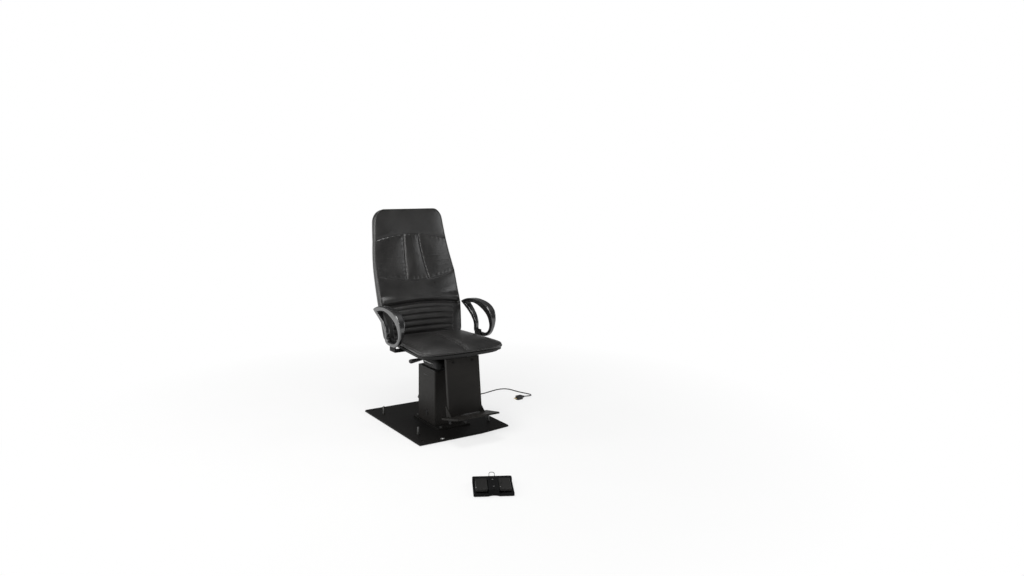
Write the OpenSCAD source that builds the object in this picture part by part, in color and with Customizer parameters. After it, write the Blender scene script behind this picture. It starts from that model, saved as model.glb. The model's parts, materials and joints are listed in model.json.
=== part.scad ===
// Examination chair with an electric lift, a swivelling padded seat, a reclining back, loop arms,
// a footrest and a double foot switch. Millimetres, +Z up, the sitter faces -Y.
// The origin is on the floor, on the axis of the lift column.

/* [Base] */
// Width of the base plate
plate_w = 600; // [520:5:700]
// From the column axis to the front edge of the base plate
plate_front = 318; // [290:1:360]
// From the column axis to the rear edge of the base plate
plate_rear = 435; // [380:5:500]
// Thickness of the base plate
plate_t = 12; // [8:1:18]
// Height of the pads that the base plate stands on
pad_h = 4; // [3:1:8]

/* [Lift column] */
// Width of the fixed column
column_w = 190; // [180:1:230]
// Depth of the fixed column
column_d = 216; // [206:1:260]
// Height of the fixed column above its foot
column_h = 320; // [320:5:360]
// Wall of the fixed column
column_wall = 3; // [2:0.5:5]
// Width of the sliding column inside it
slider_w = 160; // [150:1:164]
// Depth of the sliding column
slider_d = 186; // [180:1:190]
// Travel of the lift
lift_travel = 200; // [100:10:200]

/* [Seat] */
// Width of the seat cushion at its front
seat_w_front = 540; // [480:5:600]
// Width of the seat cushion at its rear
seat_w_rear = 470; // [440:5:560]
// Depth of the seat cushion between its straight edges
seat_d = 476; // [440:2:490]
// How far the front edge of the seat bows out in the middle
seat_bow = 28; // [10:1:45]
// Thickness of the seat cushion at its side seam
seat_side_h = 38; // [30:1:50]
// Rise of the seat cushion above its side seam
seat_crown = 24; // [12:1:36]

/* [Back] */
// Angle of the back from upright
back_lean = 19.2; // [10:0.1:28]
// How much narrower than the seat's front the back is at its widest, over the lumbar roll
back_inset = 4; // [0:2:60]
// Width of the back at its top
back_w_top = 446; // [400:2:500]
// From the recline hinge to the top of the back, along the back
back_top = 857; // [780:1:920]
// Thickness of the back cushion at its side seam
back_side_t = 52; // [40:1:66]

/* [Arms] */
// Gap between each arm and the widest part of the cushions
arm_gap = 5; // [4:1:30]
// Width of the arm strip at its top
arm_w = 46; // [36:1:56]
// Width of the arm strip at its foot
arm_w_low = 24; // [18:1:30]

/* [Footrest] */
// Width of the footrest panel
rest_w = 214; // [180:2:260]
// Width of the tread at its rear edge
tread_w_rear = 296; // [260:2:340]
// Width of the tread at its front edge
tread_w_front = 272; // [240:2:320]
// Depth of the tread along its slope
tread_d = 162; // [130:2:190]

/* [Foot switch] */
// Width of the foot switch
switch_w = 192; // [170:2:230]
// Depth of the foot switch
switch_d = 148; // [140:2:180]
// Travel of a pedal in degrees
pedal_travel = 2.5; // [1:0.5:2.5]

/* [Hidden] */

$fn = 48;
overrun = 1;
air = 0.3;
run_fit = 0.05;
hull_fn = 24;

// Stack of heights from the floor up
plate_top = pad_h + plate_t;
foot_t = 10;
foot_top = plate_top + foot_t;
cap_t = 4;
housing_top = foot_top + column_h;
cap_top = housing_top + cap_t;
slider_show = 4;
slider_top = cap_top + slider_show;
head_h = 70;
head_top = slider_top + head_h;
bearing_half = 6;
bearing_top = head_top + 2 * bearing_half;
mech_h = 27;
mech_top = bearing_top + mech_h;
pan_t = 22;
pan_top = mech_top + pan_t;

// Base plate
plate_bevel = 5;
trim_w = 200;
trim_d = 28;
floor_hole_r = 6;
floor_hole_inset = 38;
pad_r = 22;
jack_r = 6;
jack_x = 234;
jack_y_front = 168;
jack_y_rear = 300;
jack_rise = 44;
jack_nut_r = 9.5;
jack_nut_h = 9;
earth_x = -150;
earth_r = 14;
earth_h = 5;
earth_edge = 15;

// Foot of the column
foot_side = 12;
foot_w = column_w + 2 * foot_side;
foot_toe = 67;
foot_heel = 42;
foot_front = column_d / 2 + foot_toe;
foot_rear = column_d / 2 + foot_heel;
foot_bolt_in = 13;
foot_bolt_x = column_w / 2 - foot_bolt_in;
foot_bolt_edge = 18;
foot_bolt_r = 5;
foot_head_r = 8;
foot_head_h = 8;
socket_r = 4;
socket_share = 0.6;

// Column shells
column_r = 8;
slider_r = 6;
slider_wall = 4;
slider_gap = 2;
slider_overlap = 112;
slider_drop = lift_travel + slider_overlap;
slider_low = slider_top - slider_drop;
slider_lid_t = 6;
slider_lid_gap = 3;
cap_skirt = 8;
plug_r = 11;
plug_y = -8;
plug_rise = 56;
plug_flange = 2.5;
plug_flange_r = 14;

// Guides between the two columns
guide_h = 40;
guide_w = 60;
guide_drop = 8;
guide_tx = (column_w - slider_w) / 2 - column_wall - air;
guide_ty = (column_d - slider_d) / 2 - column_wall - air;
low_guide_rise = 2;

// Lift actuator
actuator_y = 38;
actuator_r = 25;
actuator_foot_h = 34;
actuator_head = 74;
actuator_reach = lift_travel + actuator_head;
rod_r = 14;
rod_gap = 0.5;
rod_low = 50;
rod_eye_t = 12;
rod_eye_h = 26;
rod_pin_r = 4;
rod_pin_l = 34;
lug_t = 8;
lug_h = 32;
motor_r = 21;
motor_h = 112;
motor_y = -28;
gear_w = 56;
gear_y0 = -52;
gear_y1 = 66;
gear_h = 34;
control_w = 100;
control_t = 22;
control_h = 70;
control_gap = 4;
barrel_ease = 1;

// Lift head
head_r = 105;
head_nose = 165;
head_round = 30;
bush_r = 25;
bush_wall = 5;
bush_h = 62;
spindle_r = bush_r - bush_wall - run_fit;
bearing_r = 72;
bearing_ring = 20;
bearing_air = 0.4;

// Seat mechanism
mech_w = 176;
mech_front = 155;
mech_rear = 150;
mech_wall = 4;
mech_floor = 5;
flange_w = 18;
flange_t = 4;
spindle_bolt_r = 6;
hinge_y = 175;
hinge_drop = 13;
hinge_z = mech_top - hinge_drop;
ear_t = 6;
ear_r = 12;
ear_x = 52;
hinge_pin_r = 6;
hinge_pin_head = 9;
hinge_pin_head_t = 4;

// Seat pan and cushion
seat_rear = 186;
seat_mid = seat_rear - seat_d / 2;
seat_power = 8;
pan_lip = 5;
pan_base_share = 0.94;
seat_bolt_x = (mech_w + flange_w) / 2;
seat_bolt_y = 120;
seat_bolt_r = 4;
seat_bolt_head_r = 7;
seat_bolt_head_h = 5;
seat_bolt_l = 14;
seat_seam_depth = 15;
seat_seam_w = 17;
seat_front_drop = 16;
seat_pull = 6;
seat_bulge = 7;

// Arms
arm_foot_z = mech_top + 34;
arm_h = 214;
arm_back = 256;
arm_front = -111;
arm_l = arm_back - arm_front;
arm_steps = 7;
bracket_t = 6;
bracket_y0 = 12;
bracket_y1 = 84;
bracket_in = 118;
bracket_bolt_y = 18;
bracket_bolt_x = 150;
bracket_bolt_step = 44;
arm_bolt_r = 4;
arm_bolt_head_r = 7;
arm_bolt_head_h = 4;
arm_tab_h = 78;

// Lock lever
lever_x = mech_w / 2 + 12;
lever_y = -140;
lever_drop = 14;
lever_z = mech_top - lever_drop;
lever_droop = 5;
lever_rod_r = 5;
lever_rod_l = 82;
lever_grip_l = 96;
lever_grip_w = 30;
lever_grip_t = 13;
lever_grip_end = 24;
lever_pin_r = 3;
lever_pin_l = 22;
lever_eye_r = 8;
lever_ear_t = 4;

// Footrest
rest_top_y = -264;
rest_top_z = mech_top - 13;
rest_tilt = 7;
rest_l = 318;
rest_t = 22;
rest_wall = 3;
tread_tilt = 11.4;
tread_t = 10;
tread_wall = 3;
tread_back_y = -288;
tread_back_z = 117;
gusset_h = 58;
gusset_d = 46;
gusset_t = 4;
hanger_w = 30;
hanger_t = 6;
hanger_x = 62;
hanger_drop = 44;
rest_bolt_r = 3;
rest_bolt_head_r = 6;
rest_bolt_head_h = 4;
stop_r = 7;
stop_h = 32;
stop_x = 118;
stop_back = 40;

// Back, in its own upright frame with the recline hinge at the origin
back_bottom = 48;
fold_v = 258;
smile_v = 399;
head_panel_h = 153;
arch_v = back_top - head_panel_h;
pleat_step = 37;
pleat_count = 5;
arch_drop = 44;
smile_rise = 50;
fold_drop = 20;
back_face = -9;
back_head_forward = 24;
back_low_forward = 10;
back_hollow = 14;
back_belly = 14;
back_tuck = 30;
back_crown = 12;
back_corner = 52;
back_low_corner = 34;
back_back = back_face + 66;
channel_top_x = 51;
channel_low_x = 77;
channel_depth = 9;
fold_depth = 20;
smile_depth = 6;
arch_depth = 6;
pleat_depth = 7;
roll_rise = 10;
bolster_w = 54;
back_bulge = 9;
// Middle of each arm, clear of the cushions at their widest
back_w_low = seat_w_front - back_inset;
arm_x = max(seat_w_front / 2 + seat_bulge, back_w_low / 2 + back_bulge) + arm_gap + arm_w / 2;
shell_inset = 14;
shell_t = 20;
shell_edge = 8;
bracket_w = 92;
bracket_bar_t = 8;
bracket_back = back_back + shell_t;
bracket_top = 356;
bracket_bend = 30;
back_bolt_r = 4;
back_bolt_head_r = 8;
back_bolt_head_h = 4;
back_bolt_x = 26;
back_bolt_v1 = 190;
back_bolt_v2 = 320;

// Foot switch
switch_x = -276;
switch_y = -1033;
switch_turn = -28.6;
switch_pad_h = 3;
switch_base_h = 11;
pedal_swing = 130;
pedal_clear = 0.83;
pedal_lift = pedal_clear + pedal_swing * sin(pedal_travel);
switch_r = 9;
switch_wall = 3;
switch_notch_r = 44;
switch_notch = 9;
switch_rear = 29;
switch_rim = 14;
switch_bar_h = 24;
switch_bar_gap = 4;
bail_rise = 19;
bridge_w = 50;
bridge_h = 30;
pedal_gap = 1.5;
pedal_h = 12;
pedal_round = 5;
pedal_pin_r = 2;
pedal_pin_rise = switch_base_h + pedal_lift + pedal_h / 2;
pedal_pin_in = 16;
pedal_lug_t = 5;
pedal_end_gap = 6;
pedal_front_gap = 4;
switch_screw_r = 2;
switch_screw_head_r = 3.5;
switch_screw_head_h = 1.5;
switch_foot_r = 9;
tab_w = 13;
tab_l = 62;
tab_h = 2;
tab_in = 9;
leaf_t = 1;
leaf_w = 14;
bail_r = 1.5;
bail_w = 14;
bail_l = 22;
bail_corner = 9;
bail_lug = 5;
bail_lean = 52;

// Supply cord
cord_d = 7;
cord_r = cord_d / 2;
gland_x = 40;
gland_z = 46;
gland_l = 36;
gland_r = 8;
gland_flange_r = 13;
gland_flange_t = 4;
gland_tip_r = 5;
coil_y = 535;
coil_pitch = 8.8;
coil_layer = 7.6;
coil_loops = 3;
coil_out_r = 56;
coil_loop_rings = 24;
coil_sides = 6;
coil_last_share = 0.75;
coil_in_r = coil_out_r - coil_loops * coil_pitch;
tie_w = 12;
tie_t = 1.5;
tie_gap = 0.4;
plug_l = 46;
plug_w = 30;
plug_h = 24;
plug_neck_l = 18;
plug_neck_r = 6;
pin_r = 2;
pin_l = 17;
pin_gap = 7;
plug_turn = 186;
cord_sides = 8;

// Route of the cord from the gland to the coil, chosen by hand
tail_route = [
    [40, 144, 46], [40, 158, 45.5], [40, 176, 42], [42, 196, 34], [46, 218, 26], [51, 242, 21],
    [58, 270, 19.7], [68, 305, 19.7], [80, 345, 19.7], [92, 385, 19.7], [104, 420, 19.7],
    [111, 440, 19.5], [118, 458, 15.5], [123, 476, 9], [126, 494, 4.8], [127, 511, 3.7], [127, 528, 3.5]
];
coil_x = tail_route[len(tail_route) - 1][0] + coil_out_r;
// Route of the cord from the coil past the rear of the plate to the plug, chosen by hand
lead_points = [
    [204, 588.8, 11.1], [220, 588, 10.6], [240, 585, 8.2], [264, 577, 5.2],
    [290, 564, 3.8], [318, 546, 3.5], [348, 521, 3.5], [380, 490, 3.5], [414, 456, 3.5],
    [448, 424, 3.5], [482, 402, 3.5], [518, 393, 3.5], [558, 397, 3.5], [598, 408, 3.5],
    [636, 419, 3.5], [672, 427, 3.5], [706, 427, 3.5], [734, 415, 3.5], [752, 392, 3.5],
    [760, 362, 3.5], [766, 328, 3.5], [775, 292, 3.5], [787, 258, 3.5], [799, 230, 3.5],
    [803, 206, 3.6], [795, 185, 4.4], [777, 173, 6.4], [755, 168.6, 9], [735, 166.5, 11.2],
    [722, 165.2, 12]
];

// Plan outline with round corners, made of exact arcs
module round_rect(w, d, r) {
    square([w - 2 * r, d], center = true);
    square([w, d - 2 * r], center = true);
    for (sx = [-1, 1], sy = [-1, 1]) translate([sx * (w / 2 - r), sy * (d / 2 - r)]) circle(r);
}

// A tube along a list of points, as one closed surface
function along(p, i) = let (a = p[max(i - 1, 0)], b = p[min(i + 1, len(p) - 1)]) (b - a) / norm(b - a);
function across(t) = let (c = cross([0, 0, 1], t)) c / norm(c);
function ring(p, i, r, sides) =
    let (t = along(p, i), u = across(t), v = cross(t, u))
    [for (k = [0 : sides - 1]) let (a = 360 * (k + 0.5) / sides) p[i] + r * (cos(a) * u + sin(a) * v)];
module tube(path, r, sides) {
    last = len(path) - 1;
    points = [for (i = [0 : last]) each ring(path, i, r, sides)];
    walls = [for (i = [0 : last - 1], k = [0 : sides - 1])
        let (a = i * sides + k, b = i * sides + (k + 1) % sides)
        each [[a, b + sides, b], [a, a + sides, b + sides]]];
    near = [for (k = [1 : sides - 2]) [0, k, k + 1]];
    far = [for (k = [1 : sides - 2]) [last * sides, last * sides + k + 1, last * sides + k]];
    polyhedron(points, concat(walls, near, far));
}

// A grid of points closed by rings of side points and a flat far face.
// grid[row][column] runs left to right and then up; rims are lists of loops outwards.
function grid_loop(rows, cols) = concat(
    [for (c = [0 : cols - 1]) c], [for (r = [1 : rows - 1]) r * cols + cols - 1],
    [for (c = [cols - 2 : -1 : 0]) (rows - 1) * cols + c], [for (r = [rows - 2 : -1 : 1]) r * cols]);
module padded_block(grid, rims) {
    rows = len(grid);
    cols = len(grid[0]);
    loop = grid_loop(rows, cols);
    n = len(loop);
    count = rows * cols;
    end_rim = rims[len(rims) - 1];
    centre = count + len(rims) * n;
    points = concat([for (row = grid) each row], [for (rim = rims) each rim],
        [(end_rim[0] + end_rim[n / 2]) / 2]);
    top = [for (r = [0 : rows - 2], c = [0 : cols - 2])
        let (a = r * cols + c, b = a + 1, d = a + cols, e = d + 1)
        each ((r < rows / 2) == (c < cols / 2) ? [[a, b, d], [b, e, d]] : [[a, b, e], [a, e, d]])];
    levels = [for (k = [-1 : len(rims) - 1]) [for (j = [0 : n - 1]) k < 0 ? loop[j] : count + k * n + j]];
    walls = [for (k = [0 : len(rims) - 1], j = [0 : n - 1])
        let (a = levels[k][j], b = levels[k][(j + 1) % n],
            d = levels[k + 1][j], e = levels[k + 1][(j + 1) % n])
        each [[a, d, e], [a, e, b]]];
    last = levels[len(rims)];
    floor_face = [for (j = [0 : n - 1]) [centre, last[(j + 1) % n], last[j]]];
    faces = [for (f = concat(top, walls, floor_face)) [f[0], f[2], f[1]]];
    polyhedron(points, faces);
}

// Base

module plate_outline() {
    polygon([
        [-plate_w / 2, -plate_front], [plate_w / 2 - trim_w, -plate_front],
        [plate_w / 2, -plate_front + trim_d], [plate_w / 2, plate_rear], [-plate_w / 2, plate_rear]
    ]);
}

floor_hole_y = [-plate_front + trim_d + floor_hole_inset / 2, plate_rear - floor_hole_inset];
floor_hole_places = [for (sx = [-1, 1], y = floor_hole_y) [sx * (plate_w / 2 - floor_hole_inset), y]];
jack_places = [for (sx = [-1, 1], y = [-jack_y_front, jack_y_rear]) [sx * jack_x, y]];
foot_bolt_places = [for (sx = [-1, 1], y = [-foot_front + foot_bolt_edge, foot_rear - foot_bolt_edge])
    [sx * foot_bolt_x, y]];

module base_plate() {
    color("#1c1c1e")
    difference() {
        translate([0, 0, pad_h]) hull() {
            linear_extrude(plate_t - plate_bevel) plate_outline();
            linear_extrude(plate_t) offset(delta = -plate_bevel) plate_outline();
        }
        for (p = floor_hole_places) translate([p[0], p[1], 0])
            cylinder(r = floor_hole_r, h = plate_top + overrun);
        for (p = jack_places) translate([p[0], p[1], 0]) cylinder(r = jack_r, h = plate_top + overrun);
        for (p = foot_bolt_places) translate([p[0], p[1], pad_h + plate_t / 3])
            cylinder(r = foot_bolt_r, h = plate_t + overrun);
    }
}

// Rubber pads glued under the plate, at its corners and under the column
module plate_pads() {
    pad_inset = 2 * floor_hole_inset;
    color("#101010") {
        cylinder(r = pad_r, h = pad_h);
        for (sx = [-1, 1], y = [-plate_front + pad_inset, plate_rear - pad_inset / 2])
            translate([sx * (plate_w / 2 - pad_inset), y, 0]) cylinder(r = pad_r, h = pad_h);
    }
}

module levelling_screws() {
    color("#8a8c8e")
    for (p = jack_places) translate([p[0], p[1], 0]) {
        cylinder(r = pad_r - jack_r, h = pad_h);
        cylinder(r = jack_r, h = plate_top + jack_rise);
    }
}

module levelling_nuts() {
    color("#707274")
    for (p = jack_places) translate([p[0], p[1], plate_top]) difference() {
        cylinder(r = jack_nut_r, h = jack_nut_h, $fn = 6);
        translate([0, 0, -overrun]) cylinder(r = jack_r, h = jack_nut_h + 2 * overrun);
    }
}

module earth_cap() {
    color("#d8dadc")
    translate([earth_x, -plate_front + earth_edge, plate_top]) intersection() {
        cylinder(r = earth_r, h = earth_h);
        translate([0, 0, -earth_r]) sphere(r = earth_r + earth_h, $fn = 40);
    }
}

module column_foot() {
    color("#222224")
    translate([0, 0, plate_top]) difference() {
        translate([0, (foot_rear - foot_front) / 2, 0])
            linear_extrude(foot_t) round_rect(foot_w, foot_front + foot_rear, column_r);
        for (p = foot_bolt_places) translate([p[0], p[1], -overrun])
            cylinder(r = foot_bolt_r, h = foot_t + 2 * overrun);
    }
}

module cap_screw(r, l, head_r, head_h) {
    difference() {
        union() {
            translate([0, 0, -l]) cylinder(r = r, h = l);
            cylinder(r = head_r, h = head_h);
        }
        translate([0, 0, head_h * (1 - socket_share)]) cylinder(r = head_r / 2, h = head_h, $fn = 6);
    }
}

module foot_bolts() {
    color("#9a9c9e")
    for (p = foot_bolt_places) translate([p[0], p[1], foot_top])
        cap_screw(foot_bolt_r, foot_t + plate_t * socket_share, foot_head_r, foot_head_h);
}

// Lift column

module column_housing() {
    color("#26272a")
    difference() {
        translate([0, 0, foot_top]) linear_extrude(column_h) difference() {
            round_rect(column_w, column_d, column_r);
            round_rect(column_w - 2 * column_wall, column_d - 2 * column_wall, column_r - column_wall);
        }
        translate([gland_x, 0, gland_z]) rotate([-90, 0, 0]) cylinder(r = gland_r, h = column_d);
        translate([0, plug_y, foot_top + plug_rise]) rotate([0, -90, 0]) cylinder(r = plug_r, h = column_w);
    }
}

module column_cap() {
    color("#161618")
    difference() {
        union() {
            translate([0, 0, housing_top]) linear_extrude(cap_t) round_rect(column_w, column_d, column_r);
            translate([0, 0, housing_top - cap_skirt]) linear_extrude(cap_skirt + cap_t)
                round_rect(column_w - 2 * column_wall, column_d - 2 * column_wall, column_r - column_wall);
        }
        translate([0, 0, housing_top - cap_skirt - overrun]) linear_extrude(cap_skirt + cap_t + 2 * overrun)
            round_rect(slider_w + 2 * slider_gap, slider_d + 2 * slider_gap, slider_r + slider_gap);
    }
}

// Blanking plug in the side of the column
module column_plug() {
    color("#3a3b3d")
    translate([-column_w / 2, plug_y, foot_top + plug_rise]) rotate([0, 90, 0]) {
        cylinder(r = plug_r, h = column_wall);
        translate([0, 0, -plug_flange]) cylinder(r = plug_flange_r, h = plug_flange);
    }
}

module guide_set(low, rx, ry, tx, ty) {
    for (s = [-1, 1]) {
        translate([s * rx - (s > 0 ? 0 : tx), -guide_w / 2, low]) cube([tx, guide_w, guide_h]);
        translate([-guide_w / 2, s * ry - (s > 0 ? 0 : ty), low]) cube([guide_w, ty, guide_h]);
    }
}

module upper_guides() {
    color("#e4e2da")
    guide_set(housing_top - cap_skirt - guide_drop - guide_h, slider_w / 2 + air, slider_d / 2 + air,
        guide_tx, guide_ty);
}

module lower_guides() {
    color("#e4e2da")
    guide_set(slider_low + low_guide_rise, slider_w / 2, slider_d / 2, guide_tx, guide_ty);
}

// Closed at the top by a lid, with an opening for the lugs that hold the push rod
module slider_column() {
    lug_x = rod_eye_t / 2 + air + lug_t + slider_lid_gap;
    lug_y = rod_eye_t + slider_lid_gap;
    color("#2c2d30")
    difference() {
        translate([0, 0, slider_low]) linear_extrude(slider_drop) round_rect(slider_w, slider_d, slider_r);
        translate([0, 0, slider_low - overrun]) linear_extrude(slider_drop - slider_lid_t + overrun)
            round_rect(slider_w - 2 * slider_wall, slider_d - 2 * slider_wall, slider_r - slider_wall);
        translate([-lug_x, actuator_y - lug_y, slider_low])
            cube([2 * lug_x, 2 * lug_y, slider_drop + overrun]);
    }
}

// Upright linear actuator: gear foot, tube and motor
module actuator_body() {
    color("#b9bbbd")
    difference() {
        union() {
            translate([-gear_w / 2, gear_y0, foot_top]) cube([gear_w, gear_y1 - gear_y0, gear_h]);
            translate([0, actuator_y, foot_top]) cylinder(r = actuator_r, h = actuator_reach);
        }
        translate([0, actuator_y, rod_low - overrun + foot_top])
            cylinder(r = rod_r + rod_gap, h = actuator_reach + overrun);
    }
}

module actuator_motor() {
    color("#55575a")
    translate([0, motor_y, foot_top + gear_h]) cylinder(r = motor_r, h = motor_h);
}

module control_box() {
    color("#c8c6be")
    translate([-control_w / 2, -slider_d / 2 + slider_wall + control_gap, foot_top])
        cube([control_w, control_t, control_h]);
}

rod_top = slider_top - (rod_eye_h - rod_eye_t);
// Round rod that ends in a flat tongue and eye between the lugs of the lift head
module push_rod() {
    eye_z = rod_top - rod_eye_t;
    shoulder = slider_top - lug_h - slider_lid_gap;
    color("#d4d6d8")
    difference() {
        union() {
            translate([0, actuator_y, foot_top + rod_low])
                cylinder(r = rod_r, h = shoulder - foot_top - rod_low);
            translate([-rod_eye_t / 2, actuator_y - rod_eye_t, shoulder - overrun])
                cube([rod_eye_t, 2 * rod_eye_t, eye_z - shoulder + overrun]);
            translate([-rod_eye_t / 2, actuator_y, eye_z]) rotate([0, 90, 0])
                cylinder(r = rod_eye_t, h = rod_eye_t);
        }
        translate([-rod_pin_l / 2, actuator_y, eye_z]) rotate([0, 90, 0])
            cylinder(r = rod_pin_r, h = rod_pin_l);
    }
}

module rod_pin() {
    color("#8f9193")
    translate([-rod_pin_l / 2, actuator_y, rod_top - rod_eye_t]) rotate([0, 90, 0])
        cylinder(r = rod_pin_r, h = rod_pin_l);
}

// Rounded casting on top of the sliding column, with a blind seat for the swivel bush
module lift_head() {
    low = slider_top + head_round;
    high = head_top - head_round;
    pin_z = rod_top - rod_eye_t;
    color("#0c0c0d")
    difference() {
        union() {
            hull() for (z = [low, high]) {
                translate([0, 0, z]) rotate_extrude($fn = 2 * hull_fn)
                    translate([head_r - head_round, 0]) circle(head_round, $fn = hull_fn);
                for (s = [-1, 1]) translate([s * (head_r - head_round), -head_nose + head_round, z])
                    sphere(head_round, $fn = hull_fn);
            }
            for (s = [-1, 1])
                translate([s * (rod_eye_t / 2 + air + lug_t / 2) - lug_t / 2, actuator_y - rod_eye_t,
                    slider_top - lug_h])
                cube([lug_t, 2 * rod_eye_t, lug_h + overrun]);
        }
        translate([0, 0, head_top - bush_h]) cylinder(r = bush_r, h = bush_h + overrun);
        translate([-head_r, actuator_y, pin_z]) rotate([0, 90, 0]) cylinder(r = rod_pin_r, h = 2 * head_r);
    }
}

module swivel_bush() {
    color("#b08d4a")
    translate([0, 0, head_top - bush_h]) difference() {
        cylinder(r = bush_r, h = bush_h);
        translate([0, 0, -overrun]) cylinder(r = bush_r - bush_wall, h = bush_h + 2 * overrun);
    }
}

module bearing_ring_half(low, h) {
    translate([0, 0, low]) difference() {
        cylinder(r = bearing_r, h = h);
        translate([0, 0, -overrun]) cylinder(r = bearing_r - bearing_ring, h = h + 2 * overrun);
    }
}

module bearing_lower() {
    color("#8d8f92") bearing_ring_half(head_top, bearing_half - bearing_air / 2);
}

module bearing_upper() {
    color("#8d8f92")
        bearing_ring_half(head_top + bearing_half + bearing_air / 2, bearing_half - bearing_air / 2);
}

module swivel_spindle() {
    boss_r = bearing_r - bearing_ring;
    color("#9ea0a3")
    union() {
        translate([0, 0, head_top - bush_h + air]) cylinder(r = spindle_r, h = bush_h + bearing_half);
        translate([0, 0, head_top + bearing_half]) cylinder(r = boss_r, h = bearing_half);
    }
}

// Seat

// Square grid place to a place on a square with round corners, by a power rule
function round_share(s, t, p) = let (m = max(abs(s), abs(t)))
    m == 0 ? [0, 0] : [s, t] / pow(pow(abs(s) / m, p) + pow(abs(t) / m, p), 1 / p);
function seat_half(t) = (seat_w_front + (seat_w_rear - seat_w_front) * (t + 1) / 2) / 2;
function seat_xy(s, t) = let (q = round_share(s, t, seat_power))
    [q[0] * seat_half(q[1]),
     seat_mid + q[1] * seat_d / 2 - seat_bow * pow(max(0, -q[1]), 3) * (1 - q[0] * q[0])];
function seat_edge_z(t) = seat_side_h - seat_front_drop * pow(max(0, -t), 4);
function seat_top_z(s, t) = let (m = max(abs(s), abs(t)))
    pan_top + seat_edge_z(t) + seat_crown * (1 - pow(m, 4))
    - seat_seam_depth * exp(-pow(s * seat_half(t) / seat_seam_w, 2)) * (1 - pow(abs(t), 6));
// Columns lie closer beside the middle seam
seat_col_shares = [-1, -0.96, -0.86, -0.72, -0.56, -0.4, -0.24, -0.12, -0.06, 0,
    0.06, 0.12, 0.24, 0.4, 0.56, 0.72, 0.86, 0.96, 1];
seat_row_shares = [-1, -0.95, -0.85, -0.7, -0.54, -0.36, -0.18, 0, 0.18, 0.36, 0.54, 0.7, 0.85, 0.95, 1];
function seat_loop(grow, z) = [for (p = seat_rim_shares)
    let (q = seat_xy(p[0], p[1]), e = seat_edge_z(p[1]) / seat_side_h,
        pull = z > 0 ? 0 : seat_pull * (1 - abs(p[0]) * abs(p[1])),
        f = (seat_half(0) + grow - pull) / seat_half(0))
    [q[0] * f, seat_mid + (q[1] - seat_mid) * f, pan_top + seat_side_h * z * e]];
seat_rim_shares = let (c = seat_col_shares, r = seat_row_shares,
    nc = len(seat_col_shares), nr = len(seat_row_shares))
    concat([for (i = [0 : nc - 1]) [c[i], -1]], [for (j = [1 : nr - 1]) [1, r[j]]],
        [for (i = [nc - 2 : -1 : 0]) [c[i], 1]], [for (j = [nr - 2 : -1 : 1]) [-1, r[j]]]);

module seat_cushion() {
    grid = [for (t = seat_row_shares) [for (s = seat_col_shares)
        let (q = seat_xy(s, t)) [q[0], q[1], seat_top_z(s, t)]]];
    color("#2e2f31")
        padded_block(grid, [seat_loop(seat_bulge, 0.82), seat_loop(seat_bulge, 0.45), seat_loop(0, 0)]);
}

module seat_pan() {
    rim = [for (p = seat_rim_shares)
        let (q = seat_xy(p[0], p[1]), f = (seat_half(0) + pan_lip) / seat_half(0))
        [q[0] * f, seat_mid + (q[1] - seat_mid) * f]];
    step = pan_t / 2;
    color("#19191b")
    difference() {
        union() {
            translate([0, 0, pan_top - step]) linear_extrude(step) polygon(rim);
            translate([0, 0, mech_top]) linear_extrude(pan_t - step)
                polygon([for (p = rim)
                    [p[0] * pan_base_share, seat_mid + (p[1] - seat_mid) * pan_base_share]]);
        }
        for (p = seat_bolt_places) translate([p[0], p[1], mech_top - overrun])
            cylinder(r = seat_bolt_r, h = seat_bolt_l - flange_t + overrun);
        for (s = [-1, 1], i = [0, 1])
            translate([s * (bracket_bolt_x + i * bracket_bolt_step), bracket_mid, mech_top - overrun])
            cylinder(r = arm_bolt_r, h = seat_bolt_l - flange_t + overrun);
    }
}

seat_bolt_places = [for (sx = [-1, 1], sy = [-1, 1]) [sx * seat_bolt_x, sy * seat_bolt_y]];
bracket_mid = (bracket_y0 + bracket_y1) / 2;

module seat_bolts() {
    color("#8c8e90")
    for (p = seat_bolt_places) translate([p[0], p[1], mech_top - flange_t]) mirror([0, 0, 1])
        cap_screw(seat_bolt_r, seat_bolt_l, seat_bolt_head_r, seat_bolt_head_h);
}

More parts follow.
